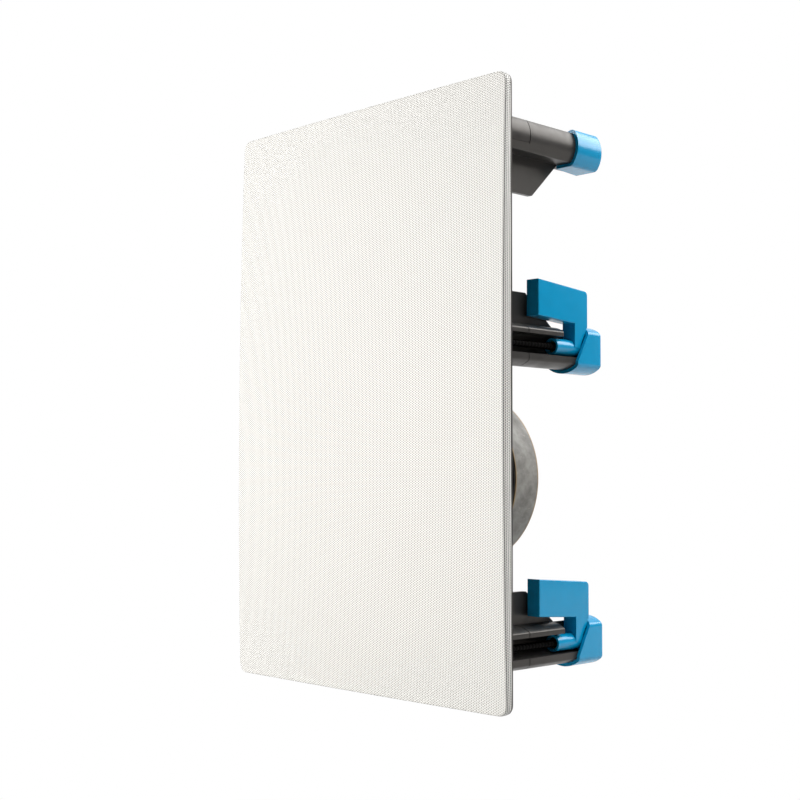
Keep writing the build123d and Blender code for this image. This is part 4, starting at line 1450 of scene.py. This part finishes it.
@dataclass
class ClampTower:
    """One wall clamp: cap, swinging clamp, threaded insert and long screw."""

    number: int
    head_radius: float = 4.0 * MM
    head_height: float = 2.7 * MM
    shank_radius: float = 2.0 * MM
    pitch: float = 0.7 * MM
    recess: float = 4.6 * MM

    def build(self, wardrobe: Wardrobe) -> bpy.types.Object:
        """Makes the threaded screw and dresses the mouldings.

        Args:
            wardrobe: shared finishes and trees.

        Returns:
            The screw.
        """
        wardrobe.dress(f"tower_cap_{self.number}", BLUE_ABS)
        wardrobe.dress(f"clamp_{self.number}", BLUE_ABS)
        wardrobe.dress(f"clamp_insert_{self.number}", TURNED_BRASS)
        node = f"clamp_screw_{self.number}"
        low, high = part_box(node)
        seat = box_middle(node)
        seat.y = low.y + self.head_height
        length = high.y - seat.y
        screw = ScrewSizes(
            self.head_radius,
            self.head_height,
            self.shank_radius,
            length,
            self.pitch,
            self.recess,
        )
        piece = screw.make(f"threaded_{node}", BLACK_ZINC, wardrobe, [seat], Drive.INTO_WALL)
        wardrobe.fit(piece, f"screw_{self.number}", "black_steel", node)
        return piece


def ferrite_ring(node: str, colour: str) -> Ferrite:
    """Finish of a ring magnet, with its painted tan highlight at the rims of that CAD node.

    Args:
        node: name of the ring magnet's CAD node.
        colour: its main grey.

    Returns:
        The finish.
    """
    low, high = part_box(node)
    half = (high - low) / 2
    return Ferrite(
        f"sintered_ferrite_{node}",
        colour,
        roughness=0.55,
        middle=tuple(box_middle(node)),
        radius=half.x,
        half_depth=half.y,
    )


@dataclass(frozen=True)
class FlexRing:
    """Soft ring that carries the cone, cut in wedges.
    """

    node: str
    slot: str
    held_radius: float
    moving_radius: float
    wedge_count: int = 16

    def wedge_mesh(self, solid: bpy.types.Mesh, centre: Vector, angle: float) -> bpy.types.Mesh:
        """Cuts one wedge out of a copy of the solid ring.

        Args:
            solid: mesh of the whole ring.
            centre: middle of the ring.
            angle: way to the middle of the wedge, from X towards Z.

        Returns:
            The wedge, with its cuts closed.
        """
        mesh = bmesh.new()
        mesh.from_mesh(solid)
        bmesh.ops.remove_doubles(mesh, verts=mesh.verts, dist=WELD_DISTANCE)
        for side in (-1, 1):
            cut_angle = angle + side * math.pi / self.wedge_count
            cut = bmesh.ops.bisect_plane(
                mesh,
                geom=[*mesh.verts, *mesh.edges, *mesh.faces],
                plane_co=centre,
                plane_no=Vector((-math.sin(cut_angle), 0.0, math.cos(cut_angle))) * side,
                clear_outer=True,
            )
            rim = [part for part in cut["geom_cut"] if isinstance(part, bmesh.types.BMEdge)]
            bmesh.ops.holes_fill(mesh, edges=rim)
        bmesh.ops.recalc_face_normals(mesh, faces=mesh.faces)
        for face in mesh.faces:
            face.smooth = True
        for edge in mesh.edges:
            edge.smooth = edge.calc_face_angle(0.0) < SMOOTH_ANGLE
        data = bpy.data.meshes.new(self.node)
        mesh.to_mesh(data)
        mesh.free()
        return data

    def build(self, finish: Finish, wardrobe: Wardrobe) -> list[bpy.types.Object]:
        """Makes the wedges.

        Args:
            finish: what the ring is made of.
            wardrobe: shared finishes and trees.

        Returns:
            The wedges.
        """
        centre = box_middle(self.node)
        made = []
        for k in range(self.wedge_count):
            angle = math.tau * (k + 0.5) / self.wedge_count
            data = self.wedge_mesh(wardrobe.nodes[self.node].data, centre, angle)
            data.materials.append(wardrobe.material(finish))
            piece = add_object(f"{self.node}_wedge_{k + 1}", data)
            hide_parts(self.node)
            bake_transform(piece)
            LOG.info("made %s with %d faces", piece.name, len(data.polygons))
            made.append(piece)
        return made


SURROUND = FlexRing(
    "woofer_surround", "surround_rubber", held_radius=68.5 * MM, moving_radius=59.5 * MM
)
SPIDER = FlexRing("woofer_spider", "spider_cloth", held_radius=40.5 * MM, moving_radius=18.0 * MM)


@dataclass
class Woofer:
    """Bass driver: basket, moving cone with its soft rings, and magnet system."""

    screw_circle: float = 78.0 * MM
    screw_count: int = 8

    def build(self, wardrobe: Wardrobe) -> bpy.types.Object:
        """Makes the soft rings and the fixing screws, and dresses the driver.

        Args:
            wardrobe: shared finishes and trees.

        Returns:
            The fixing screws.
        """
        centre = box_middle("woofer_cone")
        # Sintered ferrite ring: cloudy grey with pale chips, and a painted tan highlight along the
        # rims
        ferrite = ferrite_ring("woofer_magnet", "#aeaba5")
        # Talc-filled polypropylene, injection moulded: satin with faint rings
        cone = RingTurned(
            "filled_polypropylene",
            "#2b2b2d",
            roughness=0.36,
            second_colour="#232325",
            centre=tuple(centre),
        )
        wardrobe.dress("woofer_basket", BLACK_STEEL)
        wardrobe.dress("woofer_gasket", FIBRE_BOARD)
        SURROUND.build(BUTYL_RUBBER, wardrobe)
        wardrobe.dress("woofer_cone", cone)
        wardrobe.dress("woofer_dust_cap", cone)
        wardrobe.dress("woofer_voice_coil", ENAMELLED_COPPER)
        SPIDER.build(DIPPED_COTTON, wardrobe)
        wardrobe.dress("woofer_top_plate", BLACK_STEEL)
        wardrobe.dress("woofer_magnet", ferrite)
        wardrobe.dress("woofer_yoke", BLACK_STEEL)
        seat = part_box("woofer_screws")[0].y + FIXING_SCREW.head_height
        places = circle_places(centre, self.screw_circle, self.screw_count, seat)
        piece = FIXING_SCREW.make(
            "woofer_fixing_screws", ZINC_STEEL, wardrobe, places, Drive.INTO_WALL
        )
        wardrobe.fit(piece, "frame", "bright_steel", "woofer_screws")
        return piece


@dataclass
class Tweeter:
    """Treble driver: face plate with a horn, silk dome and magnet system."""

    screw_circle: float = 38.0 * MM
    screw_count: int = 4

    def build(self, wardrobe: Wardrobe) -> bpy.types.Object:
        """Makes the fixing screws and dresses the driver.

        Args:
            wardrobe: shared finishes and trees.

        Returns:
            The fixing screws.
        """
        # Sintered ferrite ring, as on the bass driver
        ferrite = ferrite_ring("tweeter_magnet", "#8f8c87")
        wardrobe.dress("tweeter_faceplate", BLACK_ABS)
        wardrobe.dress("tweeter_dome", COATED_SILK)
        wardrobe.dress("tweeter_coil", ENAMELLED_COPPER)
        wardrobe.dress("tweeter_top_plate", BLACK_STEEL)
        wardrobe.dress("tweeter_magnet", ferrite)
        wardrobe.dress("tweeter_yoke", BLACK_STEEL)
        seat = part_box("tweeter_screws")[0].y + FIXING_SCREW.head_height
        centre = box_middle("tweeter_dome")
        places = circle_places(centre, self.screw_circle, self.screw_count, seat)
        piece = FIXING_SCREW.make(
            "tweeter_fixing_screws", ZINC_STEEL, wardrobe, places, Drive.INTO_WALL
        )
        wardrobe.fit(piece, "frame", "bright_steel", "tweeter_screws")
        return piece


@dataclass(frozen=True)
class CoilSizes:
    """Sizes of one air-cored coil."""

    outer_radius: float
    inner_radius: float
    height: float


@dataclass
class Crossover:
    """Board with coils, capacitors, resistor and spring terminals."""

    big_coil: CoilSizes = CoilSizes(16.0 * MM, 8.0 * MM, 15.0 * MM)
    small_coil: CoilSizes = CoilSizes(12.5 * MM, 6.0 * MM, 11.0 * MM)
    small_coil_lift: float = 1.5 * MM
    wire: float = 1.0 * MM

    def build(self, wardrobe: Wardrobe) -> list[bpy.types.Object]:
        """Winds the coils, makes the screws and dresses the rest.

        Args:
            wardrobe: shared finishes and trees.

        Returns:
            The coils and the screws.
        """
        wardrobe.dress("crossover_board", GREEN_BOARD)
        wardrobe.dress("crossover_capacitors", AMBER_SLEEVE)
        wardrobe.dress("crossover_resistor", WHITE_CERAMIC)
        wardrobe.dress("terminal_block", BLACK_ABS)
        wardrobe.dress("terminal_lever_red", RED_ABS)
        wardrobe.dress("terminal_lever_black", BLACK_ABS)
        low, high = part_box("crossover_coils")
        level = low.z + self.big_coil.outer_radius
        big_x = low.x + self.big_coil.outer_radius
        small_x = high.x - self.small_coil.outer_radius
        made = []
        for name, coil, x, z in (
            ("big_coil_winding", self.big_coil, big_x, level),
            ("small_coil_winding", self.small_coil, small_x, level + self.small_coil_lift),
        ):
            place = Vector((x, low.y, z))
            values = {
                "Outer Radius": coil.outer_radius,
                "Inner Radius": coil.inner_radius,
                "Height": coil.height,
                "Wire": self.wire,
                "Material": wardrobe.material(ENAMELLED_COPPER),
            }
            winding = grow(name, wardrobe.coils, [place], values)
            wardrobe.fit(winding, "frame", "copper", "crossover_coils")
            made.append(winding)
        low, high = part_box("board_screws")
        inset = FIXING_SCREW.head_radius
        seat = high.y - FIXING_SCREW.head_height
        places = [
            Vector((x, seat, z))
            for x in (low.x + inset, high.x - inset)
            for z in (low.z + inset, high.z - inset)
        ]
        piece = FIXING_SCREW.make(
            "board_fixing_screws", ZINC_STEEL, wardrobe, places, Drive.TO_ROOM
        )
        wardrobe.fit(piece, "frame", "bright_steel", "board_screws")
        made.append(piece)
        return made


@dataclass
class FrameMoulding:
    """Black frame with its flange, baffle and towers, and the grille's magnets."""

    def build(self, wardrobe: Wardrobe) -> None:
        """Dresses the moulding and the magnets.

        Args:
            wardrobe: shared finishes and trees.
        """
        wardrobe.dress("frame", BLACK_ABS)
        wardrobe.dress("grille_magnets", NICKEL_PLATE)


@dataclass(frozen=True)
class SoftBox:
    """Flat studio lamp that looks at a point of the object."""

    name: str
    place: tuple[float, float, float]
    size: tuple[float, float]
    power: float
    target: tuple[float, float, float] = (0.0, 0.03, 0.0)

    def build(self) -> bpy.types.Object:
        """Makes the lamp.

        Returns:
            The lamp's object.
        """
        lamp = bpy.data.lights.new(self.name, "AREA")
        lamp.shape = "RECTANGLE"
        lamp.size, lamp.size_y = self.size
        lamp.energy = self.power
        made = add_object(self.name, lamp)
        way = Vector(self.target) - Vector(self.place)
        made.rotation_euler = way.to_track_quat("-Z", "Y").to_euler()
        made.location = self.place
        return made


class RayKinds(Enum):
    """Kinds of rays that the white surround tells apart, by their names in Blender."""

    DIRECT = ("Is Camera Ray", "Is Transmission Ray")
    DIRECT_OR_MIRRORED = ("Is Camera Ray", "Is Glossy Ray", "Is Transmission Ray")


@dataclass
class Studio:
    """White studio: floor, surround, lamps and the camera at the photograph's angle."""

    floor_height: float = -0.36
    floor_size: float = 12.0
    floor_colour: str = "#c8c8c6"
    floor_roughness: float = 0.9
    shadow_start: float = 0.2
    shadow_end: float = 0.62
    shadow_glow: float = 0.4
    fill: float = 0.05
    room_glow: float = 0.10
    backdrop_way: tuple[float, float, float] = (-0.7, 0.71, 0.0)
    backdrop_start: float = 0.05
    backdrop_full: float = 0.7
    focal_px: float = 1340.0
    nearest_sight: float = 0.01
    yaw: float = math.radians(45.769)
    pitch: float = math.radians(3.137)
    roll: float = math.radians(0.151)
    eye: tuple[float, float, float] = (0.53385, -0.49475, -0.04101)
    lamps: tuple[SoftBox, ...] = (
        SoftBox("key_lamp", (-1.0, -1.35, 0.25), (1.2, 1.2), 31.0),
        SoftBox("side_lamp", (1.25, 0.25, 0.95), (0.9, 1.2), 9.0),
        SoftBox("top_lamp", (0.3, 0.35, 1.4), (1.0, 1.0), 15.0),
        SoftBox("back_lamp", (0.65, 1.25, 1.0), (1.0, 1.0), 15.0),
    )

    def seen_by(self, tree: bpy.types.NodeTree, rays: RayKinds) -> bpy.types.NodeSocket:
        """Adds one for rays of these kinds, and nought for other light.

        Args:
            tree: the tree that asks.
            rays: the kinds of rays.

        Returns:
            The answer.
        """
        path = add_node(tree, "ShaderNodeLightPath")
        first, *others = rays.value
        answer = path.outputs[first]
        for kind in others:
            either = add_node(
                tree, "ShaderNodeMath", {0: answer, 1: path.outputs[kind]}, operation="MAXIMUM"
            )
            answer = either.outputs[0]
        return answer

    def floor(self) -> bpy.types.Object:
        """Makes the floor, which turns as white as the backdrop away from the object's shadow.

        Returns:
            The floor.
        """
        half = self.floor_size / 2
        corners = [(-half, -half), (half, -half), (half, half), (-half, half)]
        mesh = bpy.data.meshes.new("floor")
        mesh.from_pydata([(x, y, self.floor_height) for x, y in corners], [], [(0, 1, 2, 3)])
        piece = add_object("floor", mesh)
        # Seamless white paper: matt, with a soft shadow under the object
        paper = bpy.data.materials.new("white_paper")
        paper.use_nodes = True
        tree = paper.node_tree
        shader = tree.nodes["Principled BSDF"]
        shader.inputs["Base Color"].default_value = linear(self.floor_colour)
        shader.inputs["Roughness"].default_value = self.floor_roughness
        place = add_node(tree, "ShaderNodeTexCoord").outputs["Object"]
        level = add_node(
            tree, "ShaderNodeVectorMath", {0: place, 1: (1.0, 1.0, 0.0)}, operation="MULTIPLY"
        )
        away = add_node(tree, "ShaderNodeVectorMath", {0: level.outputs[0]}, operation="LENGTH")
        whiter = add_node(
            tree,
            "ShaderNodeMapRange",
            {
                "Value": away.outputs["Value"],
                "From Min": self.shadow_start,
                "From Max": self.shadow_end,
                "To Min": self.shadow_glow,
                "To Max": 1.0,
            },
        )
        share = add_node(
            tree,
            "ShaderNodeMath",
            {0: whiter.outputs[0], 1: self.seen_by(tree, RayKinds.DIRECT_OR_MIRRORED)},
            operation="MULTIPLY",
        )
        glow = add_node(tree, "ShaderNodeEmission", {"Color": WHITE, "Strength": 1.0})
        blend = add_node(
            tree,
            "ShaderNodeMixShader",
            {0: share.outputs[0], 1: shader.outputs[0], 2: glow.outputs[0]},
        )
        tree.links.new(blend.outputs[0], tree.nodes["Material Output"].inputs["Surface"])
        mesh.materials.append(paper)
        return piece

    def backdrop(self) -> None:
        """Sets the surround: a white backdrop behind the object, and a dim room on the near side.

        To the eye it is white all round. In reflections it is white behind the object and dim
        elsewhere. To other light it is a soft fill.
        """
        world = bpy.data.worlds.new("white_surround")
        bpy.context.scene.world = world
        world.use_nodes = True
        tree = world.node_tree
        tree.nodes.clear()
        way = add_node(tree, "ShaderNodeTexCoord").outputs["Generated"]
        facing = add_node(
            tree, "ShaderNodeVectorMath", {0: way, 1: self.backdrop_way}, operation="DOT_PRODUCT"
        )
        sheet = add_node(
            tree,
            "ShaderNodeMapRange",
            {
                "Value": facing.outputs["Value"],
                "From Min": self.backdrop_start,
                "From Max": self.backdrop_full,
                "To Min": self.room_glow,
                "To Max": 1.0,
            },
        )
        level = add_node(
            tree,
            "ShaderNodeMath",
            {0: sheet.outputs[0], 1: self.seen_by(tree, RayKinds.DIRECT)},
            operation="MAXIMUM",
        )
        white = add_node(
            tree, "ShaderNodeBackground", {"Color": WHITE, "Strength": level.outputs[0]}
        )
        fill = add_node(tree, "ShaderNodeBackground", {"Color": WHITE, "Strength": self.fill})
        blend = add_node(
            tree,
            "ShaderNodeMixShader",
            {
                0: self.seen_by(tree, RayKinds.DIRECT_OR_MIRRORED),
                1: fill.outputs[0],
                2: white.outputs[0],
            },
        )
        add_node(tree, "ShaderNodeOutputWorld", {"Surface": blend.outputs[0]})

    def camera(self) -> bpy.types.Object:
        """Sets the camera where the photograph was taken.

        Returns:
            The camera.
        """
        lens = bpy.data.cameras.new("camera")
        lens.sensor_width = SENSOR_MM
        lens.lens = self.focal_px / PICTURE_WIDTH_PX * SENSOR_MM
        lens.clip_start = self.nearest_sight
        ahead = Vector(
            (
                -math.sin(self.yaw) * math.cos(self.pitch),
                math.cos(self.yaw) * math.cos(self.pitch),
                math.sin(self.pitch),
            )
        )
        level = Vector((math.cos(self.yaw), math.sin(self.yaw), 0.0))
        upright = level.cross(ahead)
        right = math.cos(self.roll) * level + math.sin(self.roll) * upright
        up = math.cos(self.roll) * upright - math.sin(self.roll) * level
        turn = Matrix((right, up, -ahead)).transposed()
        made = add_object("camera", lens)
        made.matrix_world = Matrix.Translation(self.eye) @ turn.to_4x4()
        bpy.context.scene.camera = made
        return made

    def build(self) -> None:
        """Sets up the whole studio."""
        bpy.context.scene.view_settings.view_transform = "Standard"
        self.floor()
        self.backdrop()
        for lamp in self.lamps:
            lamp.build()
        self.camera()


def main() -> None:
    """Loads the solids, dresses each sub-assembly and sets up the studio."""
    logging.basicConfig(level=logging.INFO, format="%(name)s: %(message)s")
    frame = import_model()
    wardrobe = Wardrobe(frame["nodes"])
    FrameMoulding().build(wardrobe)
    Grille().build(wardrobe)
    for number in range(1, CLAMP_COUNT + 1):
        ClampTower(number).build(wardrobe)
    Woofer().build(wardrobe)
    Tweeter().build(wardrobe)
    Crossover().build(wardrobe)
    Studio().build()


if __name__ == "__main__":
    main()
